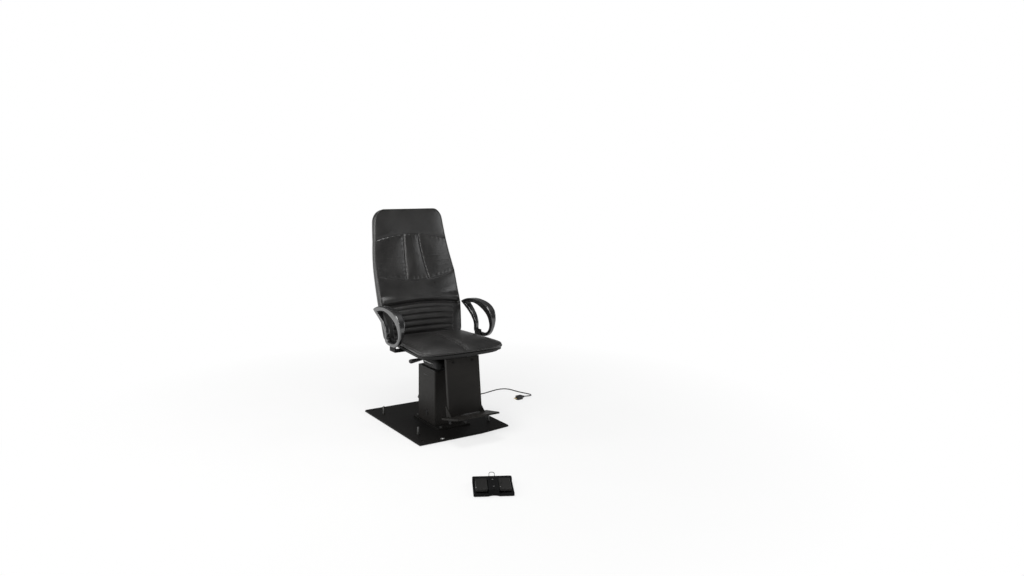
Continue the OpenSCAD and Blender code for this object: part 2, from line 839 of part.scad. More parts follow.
module seat_mechanism() {
    depth = mech_front + mech_rear;
    ear_y = hinge_y - mech_rear;
    color("#141415")
    difference() {
        union() {
            translate([-mech_w / 2, -mech_front, bearing_top]) cube([mech_w, depth, mech_floor]);
            for (s = [-1, 1]) {
                translate([s * (mech_w - mech_wall) / 2 - mech_wall / 2, -mech_front, bearing_top])
                    cube([mech_wall, depth, mech_h]);
                translate([s * (mech_w + flange_w) / 2 - flange_w / 2, -mech_front, mech_top - flange_t])
                    cube([flange_w, depth, flange_t]);
                translate([s * (ear_x + ear_t / 2) - ear_t / 2, mech_rear - ear_r, bearing_top])
                    cube([ear_t, ear_y + ear_r, mech_h - barrel_ease]);
                translate([s * (ear_x + ear_t / 2) - ear_t / 2, hinge_y, hinge_z]) rotate([0, 90, 0])
                    cylinder(r = ear_r, h = ear_t);
            }
            for (y = [-mech_front, mech_rear - mech_wall]) translate([-mech_w / 2, y, bearing_top])
                cube([mech_w, mech_wall, mech_h - mech_wall]);
            for (s = [-1, 1])
                translate([-lever_x - lever_eye_r,
                    lever_y + s * (lever_eye_r + air) - (s > 0 ? 0 : lever_ear_t), lever_z - lever_eye_r])
                cube([lever_x + lever_eye_r - mech_w / 2, lever_ear_t, 2 * lever_eye_r]);
        }
        for (p = seat_bolt_places) translate([p[0], p[1], mech_top - flange_t - overrun])
            cylinder(r = seat_bolt_r, h = flange_t + 2 * overrun);
        translate([-mech_w, hinge_y, hinge_z]) rotate([0, 90, 0]) cylinder(r = hinge_pin_r, h = 2 * mech_w);
        translate([-lever_x, lever_y - lever_pin_l, lever_z]) rotate([-90, 0, 0])
            cylinder(r = lever_pin_r, h = 2 * lever_pin_l);
    }
}

module recline_pin() {
    reach = ear_x + ear_t;
    color("#8c8e90")
    union() {
        translate([-reach, hinge_y, hinge_z]) rotate([0, 90, 0]) cylinder(r = hinge_pin_r, h = 2 * reach);
        for (s = [-1, 1]) translate([s * reach + (s > 0 ? 0 : -hinge_pin_head_t), hinge_y, hinge_z])
            rotate([0, 90, 0]) cylinder(r = hinge_pin_head, h = hinge_pin_head_t);
    }
}

// Lock lever, drooping to the sitter's right

module lever_pin() {
    reach = lever_eye_r + air + lever_ear_t;
    color("#8c8e90")
    translate([-lever_x, lever_y - reach, lever_z]) rotate([-90, 0, 0])
        cylinder(r = lever_pin_r, h = 2 * reach);
}

module at_lever() {
    translate([-lever_x, lever_y, lever_z]) rotate([0, -lever_droop, 0]) children();
}

module lock_lever() {
    color("#1a1a1b")
    at_lever() difference() {
        union() {
            translate([0, -lever_eye_r, 0]) rotate([-90, 0, 0])
                cylinder(r = lever_eye_r - barrel_ease, h = 2 * lever_eye_r);
            rotate([0, -90, 0]) cylinder(r = lever_rod_r, h = lever_rod_l);
        }
        translate([0, -lever_pin_l, 0]) rotate([-90, 0, 0])
            cylinder(r = lever_pin_r + run_fit, h = 2 * lever_pin_l);
    }
}

module lever_grip() {
    color("#0f0f10")
    at_lever() translate([-lever_rod_l, 0, 0]) difference() {
        hull() {
            translate([lever_rod_r, 0, 0]) sphere(lever_grip_t / 2, $fn = hull_fn);
            for (s = [-1, 1])
                translate([-lever_grip_l + lever_grip_end / 2, s * (lever_grip_w - lever_grip_end) / 2, 0])
                sphere(lever_grip_end / 2, $fn = hull_fn);
        }
        rotate([0, 90, 0]) cylinder(r = lever_rod_r, h = lever_rod_l);
    }
}

// Arms: a closed loop with its point at the rear

// Smooth curve through the middles of a list of corner points
function mid(a, b) = (a + b) / 2;
function bend(a, b, c, n) = [for (i = [0 : n - 1]) let (u = i / n)
    (1 - u) * (1 - u) * a + 2 * u * (1 - u) * b + u * u * c];
function smooth(p, n) = concat([p[0]],
    [for (i = [1 : len(p) - 2]) each bend(i == 1 ? p[0] : mid(p[i - 1], p[i]), p[i],
        i == len(p) - 2 ? p[len(p) - 1] : mid(p[i], p[i + 1]), n)], [p[len(p) - 1]]);
// Places along and up the arm as shares of its length and height, from the rear tip over the top
arm_outer_shares = [[1, 0.86], [0.86, 0.985], [0.52, 1.04], [0.16, 0.96], [-0.02, 0.68], [0.01, 0.28],
    [0.17, 0.0], [0.45, -0.03], [0.605, 0.04], [0.585, 0.3], [0.73, 0.6], [1, 0.86]];
arm_inner_shares = [[0.84, 0.83], [0.64, 0.93], [0.36, 0.85], [0.145, 0.66], [0.075, 0.36], [0.17, 0.11],
    [0.44, 0.075], [0.53, 0.13], [0.51, 0.36], [0.655, 0.66], [0.84, 0.83]];
function arm_place(q) = [arm_front + q[0] * arm_l, arm_foot_z + q[1] * arm_h];
arm_width_shares = [[-0.2, 0], [0.3, 0], [0.62, 0.45], [0.8, 0.92], [1.2, 1]];

module arm(side) {
    outer = smooth([for (q = arm_outer_shares) arm_place(q)], arm_steps);
    inner = smooth([for (q = arm_inner_shares) arm_place(q)], arm_steps);
    half = [for (q = arm_width_shares)
        [(arm_w_low + q[1] * (arm_w - arm_w_low)) / 2, arm_foot_z + q[0] * arm_h]];
    front = concat(half, [for (i = [len(half) - 1 : -1 : 0]) [-half[i][0], half[i][1]]]);
    color("#1d1d1f")
    translate([side * arm_x, 0, 0]) intersection() {
        translate([-arm_w, 0, 0]) rotate([90, 0, 90]) linear_extrude(2 * arm_w) difference() {
            polygon(outer);
            polygon(inner);
        }
        translate([0, arm_l, 0]) rotate([90, 0, 0]) linear_extrude(2 * arm_l) polygon(front);
    }
}

// Bent steel bracket from under the seat up to the inner side of each arm
module arm_brackets() {
    tab_x = arm_x - arm_w_low / 2 - bracket_t;
    depth = bracket_y1 - bracket_y0;
    color("#202123")
    for (s = [-1, 1]) mirror([s < 0 ? 1 : 0, 0, 0]) difference() {
        union() {
            translate([bracket_in, bracket_y0, mech_top - bracket_t])
                cube([tab_x - bracket_in + bracket_t, depth, bracket_t]);
            translate([tab_x, bracket_y0, mech_top - bracket_t]) cube([bracket_t, depth, arm_tab_h]);
        }
        for (i = [0, 1])
            translate([bracket_bolt_x + i * bracket_bolt_step, bracket_mid, mech_top - bracket_t - overrun])
            cylinder(r = arm_bolt_r, h = bracket_t + 2 * overrun);
    }
}

module arm_bolts() {
    color("#8c8e90")
    for (s = [-1, 1], i = [0, 1])
        translate([s * (bracket_bolt_x + i * bracket_bolt_step), bracket_mid, mech_top - bracket_t])
        mirror([0, 0, 1]) cap_screw(arm_bolt_r, seat_bolt_l, arm_bolt_head_r, arm_bolt_head_h);
}

// Footrest

module at_rest_panel() {
    translate([0, rest_top_y, rest_top_z]) rotate([-rest_tilt, 0, 0]) children();
}

module at_tread() {
    translate([0, tread_back_y, tread_back_z]) rotate([-tread_tilt, 0, 0]) children();
}

rest_bolt_drop = hanger_drop / 2;

// A shallow sheet-metal tray, open at the rear
module rest_panel() {
    color("#2a2b2d")
    at_rest_panel() difference() {
        translate([-rest_w / 2, 0, -rest_l]) cube([rest_w, rest_t, rest_l]);
        translate([-rest_w / 2 + rest_wall, rest_wall, -rest_l - overrun])
            cube([rest_w - 2 * rest_wall, rest_t, rest_l + overrun - rest_wall]);
        for (s = [-1, 1]) translate([s * hanger_x, -overrun, -rest_bolt_drop]) rotate([-90, 0, 0])
            cylinder(r = rest_bolt_r, h = rest_wall + 2 * overrun);
    }
}

// Two bars from the seat mechanism down into the panel
module rest_hangers() {
    bar_y = rest_top_y + rest_wall;
    color("#1a1a1c")
    for (s = [-1, 1]) union() {
        translate([s * hanger_x - hanger_w / 2, bar_y, bearing_top])
            cube([hanger_w, -mech_front - bar_y, hanger_t]);
        at_rest_panel() difference() {
            translate([s * hanger_x - hanger_w / 2, rest_wall, -hanger_drop])
                cube([hanger_w, hanger_t, hanger_drop - rest_wall]);
            translate([s * hanger_x, 0, -rest_bolt_drop]) rotate([-90, 0, 0])
                cylinder(r = rest_bolt_r, h = rest_wall + hanger_t + overrun);
        }
    }
}

module rest_bolts() {
    color("#8c8e90")
    at_rest_panel() for (s = [-1, 1]) translate([s * hanger_x, 0, -rest_bolt_drop]) rotate([90, 0, 0])
        cap_screw(rest_bolt_r, rest_wall + hanger_t, rest_bolt_head_r, rest_bolt_head_h);
}

module tread_outline(inset) {
    polygon([
        [-tread_w_rear / 2 + inset, -inset], [-tread_w_front / 2 + inset, -tread_d + inset],
        [tread_w_front / 2 - inset, -tread_d + inset], [tread_w_rear / 2 - inset, -inset]
    ]);
}

// Folded tread with its gussets up the sides of the panel
module rest_tread() {
    gusset_x = rest_w / 2;
    color("#2f3032")
    union() {
        at_tread() difference() {
            linear_extrude(tread_t) tread_outline(0);
            translate([0, 0, -overrun]) linear_extrude(tread_t - tread_wall + overrun)
                tread_outline(tread_wall);
        }
        for (s = [-1, 1]) at_tread()
            translate([s * (gusset_x + gusset_t / 2) - gusset_t / 2, 0, tread_t - tread_wall / 2])
            rotate([90, 0, 90]) linear_extrude(gusset_t)
            polygon([[-gusset_d, 0], [rest_t / 2, 0], [rest_t / 2, gusset_h], [0, gusset_h]]);
    }
}

// Rubber stops under the tread
module rest_stops() {
    color("#101010")
    for (s = [-1, 1]) at_tread() translate([s * stop_x, -stop_back, tread_t - tread_wall - stop_h])
        cylinder(r = stop_r, h = stop_h);
}

// Back

module at_back() {
    translate([0, hinge_y, hinge_z]) rotate([-back_lean, 0, 0]) children();
}

function lerp(a, b, u) = a + (b - a) * u;
function back_share(v) = (v - fold_v) / (back_top - fold_v);
// Half width of the back at a height, with a full middle and round upper and lower corners
function back_half(v) =
    let (w = v < fold_v ? lerp(0.96, 1, (v - back_bottom) / (fold_v - back_bottom)) * back_w_low / 2
            : lerp(back_w_low, back_w_top, back_share(v)) / 2
                + back_belly * 4 * back_share(v) * (1 - back_share(v)),
        up = v - (back_top - back_corner), down = back_bottom + back_low_corner - v)
    w - (up > 0 ? back_corner - sqrt(max(0, pow(back_corner, 2) - up * up)) : 0)
      - (down > 0 ? back_low_corner - sqrt(max(0, pow(back_low_corner, 2) - down * down)) : 0);
// Curve of a level row: how far its ends lie above its middle
function back_sag(v) = v >= arch_v ? lerp(-arch_drop, 0, (v - arch_v) / (back_top - arch_v))
    : v >= smile_v ? lerp(smile_rise, -arch_drop, (v - smile_v) / (arch_v - smile_v))
    : v >= fold_v ? lerp(-fold_drop, smile_rise, (v - fold_v) / (smile_v - fold_v))
    : lerp(0, -fold_drop, (v - back_bottom) / (fold_v - back_bottom));
// Line of the front face: hollow behind the shoulders, forward at the head and over the lumbar roll,
// and tucked back behind the seat cushion
function upper_share(v) = max(0, v - smile_v) / (back_top - smile_v);
function back_line(v) = back_face
    - back_head_forward * pow(upper_share(v), 3) + back_hollow * 4 * upper_share(v) * (1 - upper_share(v))
    - back_low_forward * pow(min(1, max(0, smile_v - v) / (smile_v - fold_v)), 1.5)
    + back_tuck * pow(max(0, fold_v - v) / (fold_v - back_bottom), 1.3);
function dip(v, at, depth, w) = depth * exp(-pow((v - at) / w, 2));
seam_w = 8;
pleat_places = [for (k = [1 : pleat_count]) fold_v - k * pleat_step];
function row_dips(v) = dip(v, fold_v, fold_depth, seam_w * 1.6) + dip(v, smile_v, smile_depth, seam_w)
    + dip(v, arch_v, arch_depth, seam_w) - dip(v, fold_v + 3 * seam_w, roll_rise, 2 * seam_w);
function pleat_dips(v) = pleat_dip_sum(v, 0);
function pleat_dip_sum(v, k) = k >= len(pleat_places) ? 0
    : dip(v, pleat_places[k], pleat_depth, seam_w) + pleat_dip_sum(v, k + 1);
function channel_x(v) = v > arch_v ? channel_top_x : v < smile_v ? channel_low_x
    : lerp(channel_low_x, channel_top_x, (v - smile_v) / (arch_v - smile_v));
function channel_dips(x, v) = v > smile_v && v < arch_v
    ? channel_depth * exp(-pow((abs(x) - channel_x(v)) / seam_w, 2)) : 0;
function back_depth(x, v) = let (m = max(abs(x) / max(back_half(v), 1),
        abs(2 * v - back_top - back_bottom) / (back_top - back_bottom)),
        inside = abs(x) < back_half(v) - bolster_w)
    back_line(v) - back_crown * (1 - pow(m, 4)) + (m < 1 ? row_dips(v) + channel_dips(x, v)
        + (inside ? pleat_dips(v) : 0) : 0);
seam_step = 12;
channel_step = 9;
low_row_shares = [0, 0.1, 0.35];
fold_row_shares = [-0.056, 0, 0.07, 0.18, 0.35, 0.6];
panel_row_shares = [0.22, 0.5, 0.78];
head_row_share = 0.42;
corner_row_shares = [1, 0.5, 0.2, 0.04, 0];
back_rows = concat([for (k = low_row_shares) back_bottom + k * back_low_corner],
    [for (k = [pleat_count - 1 : -1 : 0]) each [pleat_places[k], pleat_places[k] + pleat_step / 2]],
    [for (k = fold_row_shares) lerp(fold_v, smile_v, k)],
    [smile_v - seam_step, smile_v, smile_v + seam_step],
    [for (k = panel_row_shares) lerp(smile_v, arch_v, k)], [arch_v - seam_step, arch_v, arch_v + seam_step],
    [lerp(arch_v, back_top, head_row_share)], [for (k = corner_row_shares) back_top - k * back_corner]);
function back_cols(v) = let (h = back_half(v), c = channel_x(v), b = h - bolster_w,
    half = [h, h - 0.24 * bolster_w, h - 0.7 * bolster_w, b, lerp(c, b, 0.6), lerp(c, b, 0.3),
        c + channel_step, c, c - channel_step])
    concat([for (i = [0 : 8]) -half[i]], [0], [for (i = [8 : -1 : 0]) half[i]]);
function back_point(x, v) = let (u = x / (back_w_low / 2))
    [x, back_depth(x, v), v + back_sag(v) * u * u];
back_grid = [for (v = back_rows) [for (x = back_cols(v)) back_point(x, v)]];
back_loop_places = let (rows = len(back_grid), cols = len(back_grid[0]))
    [for (i = grid_loop(rows, cols)) back_grid[floor(i / cols)][i % cols]];
function back_rim(grow, y) = let (middle = (back_top + back_bottom) / 2) [for (p = back_loop_places)
    [p[0] * (1 + 2 * grow / back_w_low), y,
     middle + (p[2] - middle) * (1 + 2 * grow / (back_top - back_bottom))]];

module back_cushion() {
    color("#2e2f31")
    at_back() padded_block(back_grid, [
        back_rim_near(back_bulge, 0.3), back_rim_near(back_bulge, 0.62),
        back_rim(-shell_inset / 2, back_back)
    ]);
}

// Side rings between the front seam and the flat rear, at a share of the way
function back_rim_near(grow, share) = let (middle = (back_top + back_bottom) / 2)
    [for (p = back_loop_places)
    [p[0] * (1 + 2 * grow / back_w_low), lerp(p[1], back_back, share),
     middle + (p[2] - middle) * (1 + 2 * grow / (back_top - back_bottom))]];

back_bolt_places = [for (s = [-1, 1], v = [back_bolt_v1, back_bolt_v2]) [s * back_bolt_x, v]];

// Moulded rear cover in two steps
module back_shell() {
    step = shell_t / 2;
    wide = [for (p = back_rim(-shell_inset, 0)) [p[0], p[2]]];
    slim = [for (p = back_rim(-shell_inset - shell_edge, 0)) [p[0], p[2]]];
    color("#1b1b1d")
    at_back() difference() {
        union() {
            translate([0, back_back + step, 0]) rotate([90, 0, 0]) linear_extrude(step) polygon(wide);
            translate([0, back_back + shell_t, 0]) rotate([90, 0, 0]) linear_extrude(shell_t) polygon(slim);
        }
        for (p = back_bolt_places) translate([p[0], back_back + shell_t - step, p[1]]) rotate([-90, 0, 0])
            cylinder(r = back_bolt_r, h = step + overrun);
    }
}

// Steel bar from the hinge round behind the shell, with its hinge barrel
module back_bracket() {
    bar = bracket_bar_t;
    far = bracket_back;
    color("#19191b")
    at_back() difference() {
        union() {
            translate([-bracket_w / 2, 0, -bar / 2]) cube([bracket_w, far + bar - bracket_bend, bar]);
            translate([-bracket_w / 2, far, bracket_bend])
                cube([bracket_w, bar, bracket_top - bracket_bend]);
            translate([-bracket_w / 2, 0, 0]) rotate([90, 0, 90]) linear_extrude(bracket_w) polygon([
                [far + bar - bracket_bend - overrun, -bar / 2], [far + bar, bracket_bend - bar / 2],
                [far + bar, bracket_bend + overrun], [far, bracket_bend + overrun],
                [far, bracket_bend - bar / 4], [far + bar * 3 / 4 - bracket_bend, bar / 2],
                [far + bar - bracket_bend - overrun, bar / 2]
            ]);
            translate([-ear_x + air, 0, 0]) rotate([0, 90, 0])
                cylinder(r = ear_r - barrel_ease, h = 2 * (ear_x - air));
        }
        translate([-ear_x - overrun, 0, 0]) rotate([0, 90, 0])
            cylinder(r = hinge_pin_r + run_fit, h = 2 * (ear_x + overrun));
        for (p = back_bolt_places) translate([p[0], far - overrun, p[1]]) rotate([-90, 0, 0])
            cylinder(r = back_bolt_r, h = bar + 2 * overrun);
    }
}

module back_bolts() {
    color("#8c8e90")
    at_back() for (p = back_bolt_places)
        translate([p[0], bracket_back + bracket_bar_t, p[1]]) rotate([-90, 0, 0])
        cap_screw(back_bolt_r, bracket_bar_t + shell_t / 2, back_bolt_head_r, back_bolt_head_h);
}

// Double foot switch, standing by itself in front of the chair

module at_switch() {
    translate([switch_x, switch_y, switch_pad_h]) rotate([0, 0, switch_turn]) children();
}

pedal_w = (switch_w - bridge_w) / 2 - pedal_end_gap;
pedal_mid = bridge_w / 2 + pedal_gap + (pedal_w - pedal_gap) / 2;
pedal_pin_y = switch_d / 2 - pedal_pin_in;
switch_back = switch_d / 2 + switch_rear;
switch_front = -switch_d / 2 - switch_rim;
bar_front = pedal_pin_y + 3 * pedal_pin_r + switch_bar_gap;

// Notch that narrows the front of the foot switch between its pedals
module switch_notched() {
    difference() {
        children();
        translate([0, switch_front - switch_notch_r + switch_notch]) circle(switch_notch_r);
    }
}

module switch_outline() {
    switch_notched() translate([0, (switch_back + switch_front) / 2])
        round_rect(switch_w, switch_back - switch_front, switch_r);
}

module switch_base() {
    color("#222325")
    at_switch() difference() {
        union() {
            linear_extrude(switch_base_h) switch_outline();
            linear_extrude(switch_bar_h) intersection() {
                switch_outline();
                translate([-switch_w, bar_front]) square([2 * switch_w, switch_d]);
            }
            for (s = [-1, 1]) translate([s * (pedal_mid + pedal_w / 2 - pedal_lug_t / 2) - pedal_lug_t / 2,
                pedal_pin_y - pedal_pin_r * 2, switch_base_h - switch_wall])
                cube([pedal_lug_t, pedal_pin_r * 4,
                    pedal_pin_rise - switch_base_h + switch_wall + 2 * pedal_pin_r]);
            for (s = [-1, 1])
                translate([s * bail_w / 2 - bail_lug / 2, switch_back - overrun, bail_rise - bail_lug / 2])
                cube([bail_lug, bail_lug + overrun, bail_lug]);
        }
        for (s = [-1, 1])
            translate([s * (pedal_mid - pedal_gap / 2), 0, switch_wall]) linear_extrude(switch_base_h)
            round_rect(pedal_w - 2 * switch_wall - 2 * pedal_lug_t,
                switch_d - 4 * switch_wall, switch_r / 2);
        for (s = [-1, 1])
            translate([s * (pedal_mid + pedal_w / 2) - pedal_w / 2, pedal_pin_y, pedal_pin_rise])
            rotate([0, 90, 0]) cylinder(r = pedal_pin_r, h = pedal_w);
        translate([-bail_w, switch_back + bail_lug / 2, bail_rise]) rotate([0, 90, 0])
            cylinder(r = bail_r + run_fit, h = 2 * bail_w);
    }
}

// Bridge between the pedals, which covers their pins
module switch_top() {
    color("#2b2c2f")
    at_switch() difference() {
        translate([0, 0, switch_base_h]) linear_extrude(bridge_h - switch_base_h) switch_notched()
            translate([0, (bar_front + switch_front) / 2])
            round_rect(bridge_w, bar_front - switch_front, switch_r / 2);
        translate([-bridge_w, pedal_pin_y, pedal_pin_rise]) rotate([0, 90, 0])
            cylinder(r = pedal_pin_r, h = 2 * bridge_w);
        for (y = [-1, 1]) translate([0, y * (switch_d / 2 - pedal_pin_in * 2), switch_base_h])
            cylinder(r = switch_screw_r, h = bridge_h);
    }
}

module switch_screws() {
    color("#b9bbbd")
    at_switch() for (y = [-1, 1]) translate([0, y * (switch_d / 2 - pedal_pin_in * 2), bridge_h])
        cap_screw(switch_screw_r, bridge_h - switch_base_h, switch_screw_head_r, switch_screw_head_h);
}

module switch_feet() {
    color("#0e0e0e")
    for (sx = [-1, 1], y = [switch_front + 2 * switch_r, switch_back - 2 * switch_r]) at_switch()
        translate([sx * (switch_w / 2 - 2 * switch_r), y, -switch_pad_h])
        cylinder(r = switch_foot_r, h = switch_pad_h);
}

module pedal(side) {
    wide = pedal_w - pedal_gap - pedal_lug_t - 2 * air;
    rear = pedal_pin_y + 3 * pedal_pin_r;
    front = -switch_d / 2 + pedal_front_gap;
    low = switch_base_h + pedal_lift;
    color("#34353a")
    at_switch() translate([side * (bridge_w / 2 + pedal_gap + wide / 2), 0, 0]) difference() {
        union() {
            hull() for (sx = [-1, 1], y = [rear - pedal_round, front + pedal_round])
                translate([sx * (wide / 2 - pedal_round), y, low]) {
                    cylinder(r = pedal_round, h = pedal_h - pedal_round);
                    translate([0, 0, pedal_h - pedal_round]) sphere(pedal_round, $fn = hull_fn);
                }
            // A low rail with a round front end along the inner edge of the right pedal
            if (side > 0) translate([tab_in - wide / 2, 0, low + pedal_h / 2]) {
                cylinder(r = tab_w / 2, h = pedal_h / 2 + tab_h);
                translate([-tab_w / 2, 0, 0]) cube([tab_w, tab_l - tab_w / 2, pedal_h / 2 + tab_h]);
            }
        }
        translate([-wide, pedal_pin_y, pedal_pin_rise]) rotate([0, 90, 0])
            cylinder(r = pedal_pin_r + run_fit, h = 2 * wide);
    }
}

module pedal_left() { pedal(-1); }
module pedal_right() { pedal(1); }

module pedal_pins() {
    color("#a0a2a4")
    at_switch() translate([-pedal_mid - pedal_w / 2, pedal_pin_y, pedal_pin_rise]) rotate([0, 90, 0])
        cylinder(r = pedal_pin_r, h = 2 * pedal_mid + pedal_w);
}

// Bent strip under each pedal that lifts it
module leaf_springs() {
    reach = switch_d / 2;
    color("#9a9c9e")
    at_switch() for (s = [-1, 1])
        translate([s * (pedal_mid - pedal_gap / 2) - leaf_w / 2, -reach / 2, switch_wall])
        rotate([90, 0, 90]) linear_extrude(leaf_w) polygon([
            [0, 0], [reach, 0], [reach, leaf_t], [leaf_t * 4, leaf_t],
            [reach * socket_share, switch_base_h - switch_wall + leaf_t],
            [reach * socket_share - leaf_t * 2, switch_base_h - switch_wall + leaf_t], [0, leaf_t]
        ]);
}

// Wire bail hinged at the rear of the foot switch
module switch_bail() {
    color("#7c7e80")
    at_switch()
    translate([0, switch_back + bail_lug / 2, bail_rise]) rotate([bail_lean, 0, 0]) union() {
        for (s = [-1, 1]) {
            translate([s * bail_w / 2 + (s > 0 ? -bail_lug / 2 : -bail_corner + bail_lug / 2), 0, 0])
            rotate([0, 90, 0])
                cylinder(r = bail_r, h = bail_corner);
            translate([s * (bail_w / 2 + bail_corner - bail_lug / 2), 0, 0]) sphere(bail_r);
            translate([s * (bail_w / 2 + bail_corner - bail_lug / 2), 0, 0]) rotate([-90, 0, 0])
                cylinder(r = bail_r, h = bail_l - bail_corner);
            translate([s * (bail_w / 2 - bail_lug / 2), bail_l - bail_corner, 0])
            rotate([0, 0, s > 0 ? 0 : 90])
                rotate_extrude(angle = 90) translate([bail_corner, 0]) circle(bail_r);
        }
        translate([-bail_w / 2 + bail_lug / 2, bail_l, 0]) rotate([0, 90, 0])
            cylinder(r = bail_r, h = bail_w - bail_lug);
    }
}

// Supply cord

module cord_gland() {
    color("#18181a")
    translate([gland_x, column_d / 2, gland_z]) rotate([-90, 0, 0]) difference() {
        union() {
            translate([0, 0, -column_wall]) cylinder(r = gland_r, h = column_wall);
            cylinder(r = gland_flange_r, h = gland_flange_t);
            translate([0, 0, gland_flange_t])
                cylinder(r1 = gland_r, r2 = gland_tip_r, h = gland_l - gland_flange_t);
        }
    }
}

module cord_tail() {
    color("#141414") tube(tail_route, cord_r, cord_sides);
}

module cord_lead() {
    color("#141414") tube(lead_route, cord_r, cord_sides);
}

// Loops spiral in, climb a layer in half a turn and spiral out again, with straight ends
coil_turns = coil_loops + 0.5 + coil_loops - (1 - coil_last_share);
function coil_radius(t) = t < coil_loops ? coil_out_r - t * coil_pitch
    : t < coil_loops + 0.5 ? coil_in_r : coil_in_r + (t - coil_loops - 0.5) * coil_pitch;
function coil_height(t) = cord_r + coil_layer * (t < coil_loops ? 0
    : t < coil_loops + 0.5 ? (1 - cos(360 * (t - coil_loops))) / 2 : 1);
coil_start_turn = 180;
function coil_at(t) = let (a = coil_start_turn - 360 * t)
    [coil_x + coil_radius(t) * cos(a), coil_y + coil_radius(t) * sin(a), coil_height(t)];
coil_rings = [for (i = [0 : round(coil_turns * coil_loop_rings)]) coil_at(i / coil_loop_rings)];
coil_route = concat([coil_rings[0] - [0, cord_d, 0]], coil_rings,
    [coil_rings[len(coil_rings) - 1] + [cord_d, 0, 0]]);
lead_route = concat([coil_route[len(coil_route) - 1]], lead_points);
// Least gap of the coil to itself, measured between rings at least half a turn apart
coil_gap = min([for (i = [0 : len(coil_rings) - 1], j = [i + coil_loop_rings / 2 : 1 : len(coil_rings) - 1])
    norm(coil_rings[i] - coil_rings[j])]) - cord_d;
echo(coil_gap = coil_gap);

module cord_coil() {
    color("#141414") tube(coil_route, cord_r, coil_sides);
}

// Strap round the bundle of loops
module cord_tie() {
    span = coil_loops * coil_pitch;
    low = cord_r;
    color("#303234")
    translate([coil_x + coil_in_r + span / 2, coil_y - tie_w / 2, 0]) rotate([-90, 0, 0])
    linear_extrude(tie_w)
    difference() {
        translate([-(span + cord_d) / 2 - tie_gap - tie_t, -coil_layer - cord_d - tie_gap - tie_t])
            square([span + cord_d + 2 * (tie_gap + tie_t), coil_layer + cord_d + tie_gap + tie_t]);
        translate([-(span + cord_d) / 2 - tie_gap, -coil_layer - cord_d - tie_gap])
            square([span + cord_d + 2 * tie_gap, coil_layer + cord_d + tie_gap + overrun]);
    }
}

module at_plug() {
    translate(lead_route[len(lead_route) - 1]) rotate([0, 0, plug_turn]) children();
}

module plug_body() {
    color("#1a1a1b")
    at_plug() difference() {
        union() {
            rotate([0, 90, 0]) cylinder(r1 = plug_neck_r, r2 = plug_h / 2 - overrun, h = plug_neck_l);
            translate([plug_neck_l, 0, -plug_h / 2]) linear_extrude(plug_h)
                translate([plug_l / 2, 0]) round_rect(plug_l, plug_w, plug_neck_r);
        }
        for (s = [-1, 0, 1]) translate([plug_neck_l + plug_l / 2, s * pin_gap, 0]) rotate([0, 90, 0])
            cylinder(r = pin_r, h = plug_l);
    }
}

module plug_pins() {
    color("#c9b27a")
    at_plug() for (s = [-1, 0, 1]) translate([plug_neck_l + plug_l / 2, s * pin_gap, 0]) rotate([0, 90, 0])
        cylinder(r = pin_r, h = plug_l / 2 + pin_l);
}

base_plate();
plate_pads();
levelling_screws();
levelling_nuts();
earth_cap();
column_foot();
foot_bolts();
column_housing();
column_cap();
column_plug();
upper_guides();
actuator_body();
actuator_motor();
control_box();
cord_gland();
cord_tail();
cord_coil();
cord_lead();
cord_tie();
plug_body();
plug_pins();
slider_column();
lower_guides();
lift_head();
push_rod();
rod_pin();
swivel_bush();
bearing_lower();
swivel_spindle();
bearing_upper();
seat_mechanism();
seat_pan();
seat_bolts();
seat_cushion();
arm(-1);  // arm_left
arm(1);  // arm_right
arm_brackets();
arm_bolts();
rest_hangers();
rest_panel();
rest_tread();
rest_bolts();
rest_stops();
lever_pin();
lock_lever();
lever_grip();
recline_pin();
back_bracket();
back_bolts();
back_shell();
back_cushion();
switch_base();
switch_top();
switch_screws();
switch_feet();
pedal_left();
pedal_right();
pedal_pins();
leaf_springs();
switch_bail();
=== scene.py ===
"""Dresses the jointed frame of an electrically lifted examination chair for a close render.

Every piece rides on a body of the frame, and every finish is made of nodes.
"""
import bisect
import json
import math
import bpy
from bpy.props import FloatProperty, FloatVectorProperty, PointerProperty
from mathutils import Euler, Matrix, Vector
from mathutils.bvhtree import BVHTree


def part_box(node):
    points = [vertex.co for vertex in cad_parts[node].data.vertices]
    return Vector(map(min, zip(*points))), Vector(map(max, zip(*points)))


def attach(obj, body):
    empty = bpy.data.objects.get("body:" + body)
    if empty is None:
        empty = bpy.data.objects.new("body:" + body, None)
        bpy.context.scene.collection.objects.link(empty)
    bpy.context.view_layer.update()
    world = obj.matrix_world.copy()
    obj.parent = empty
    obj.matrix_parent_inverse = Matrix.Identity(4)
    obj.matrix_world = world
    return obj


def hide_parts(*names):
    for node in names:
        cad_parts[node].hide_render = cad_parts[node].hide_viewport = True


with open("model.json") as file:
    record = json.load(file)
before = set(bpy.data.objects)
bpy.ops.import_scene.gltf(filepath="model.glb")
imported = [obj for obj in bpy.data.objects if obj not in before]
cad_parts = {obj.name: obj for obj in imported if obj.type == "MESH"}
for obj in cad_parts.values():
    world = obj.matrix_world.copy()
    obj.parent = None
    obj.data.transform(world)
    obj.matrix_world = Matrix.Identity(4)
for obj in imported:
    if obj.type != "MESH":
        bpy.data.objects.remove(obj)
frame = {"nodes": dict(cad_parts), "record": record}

bl_info = {
    "name": "Examination Chair Dressing",
    "version": (1, 0, 0),
    "blender": (4, 5, 0),
    "location": "3D Viewport > Sidebar > Chair",
    "description": "Cushions, arms, covers, cord, finishes and a plain studio for an examination chair",
    "category": "Object",
}

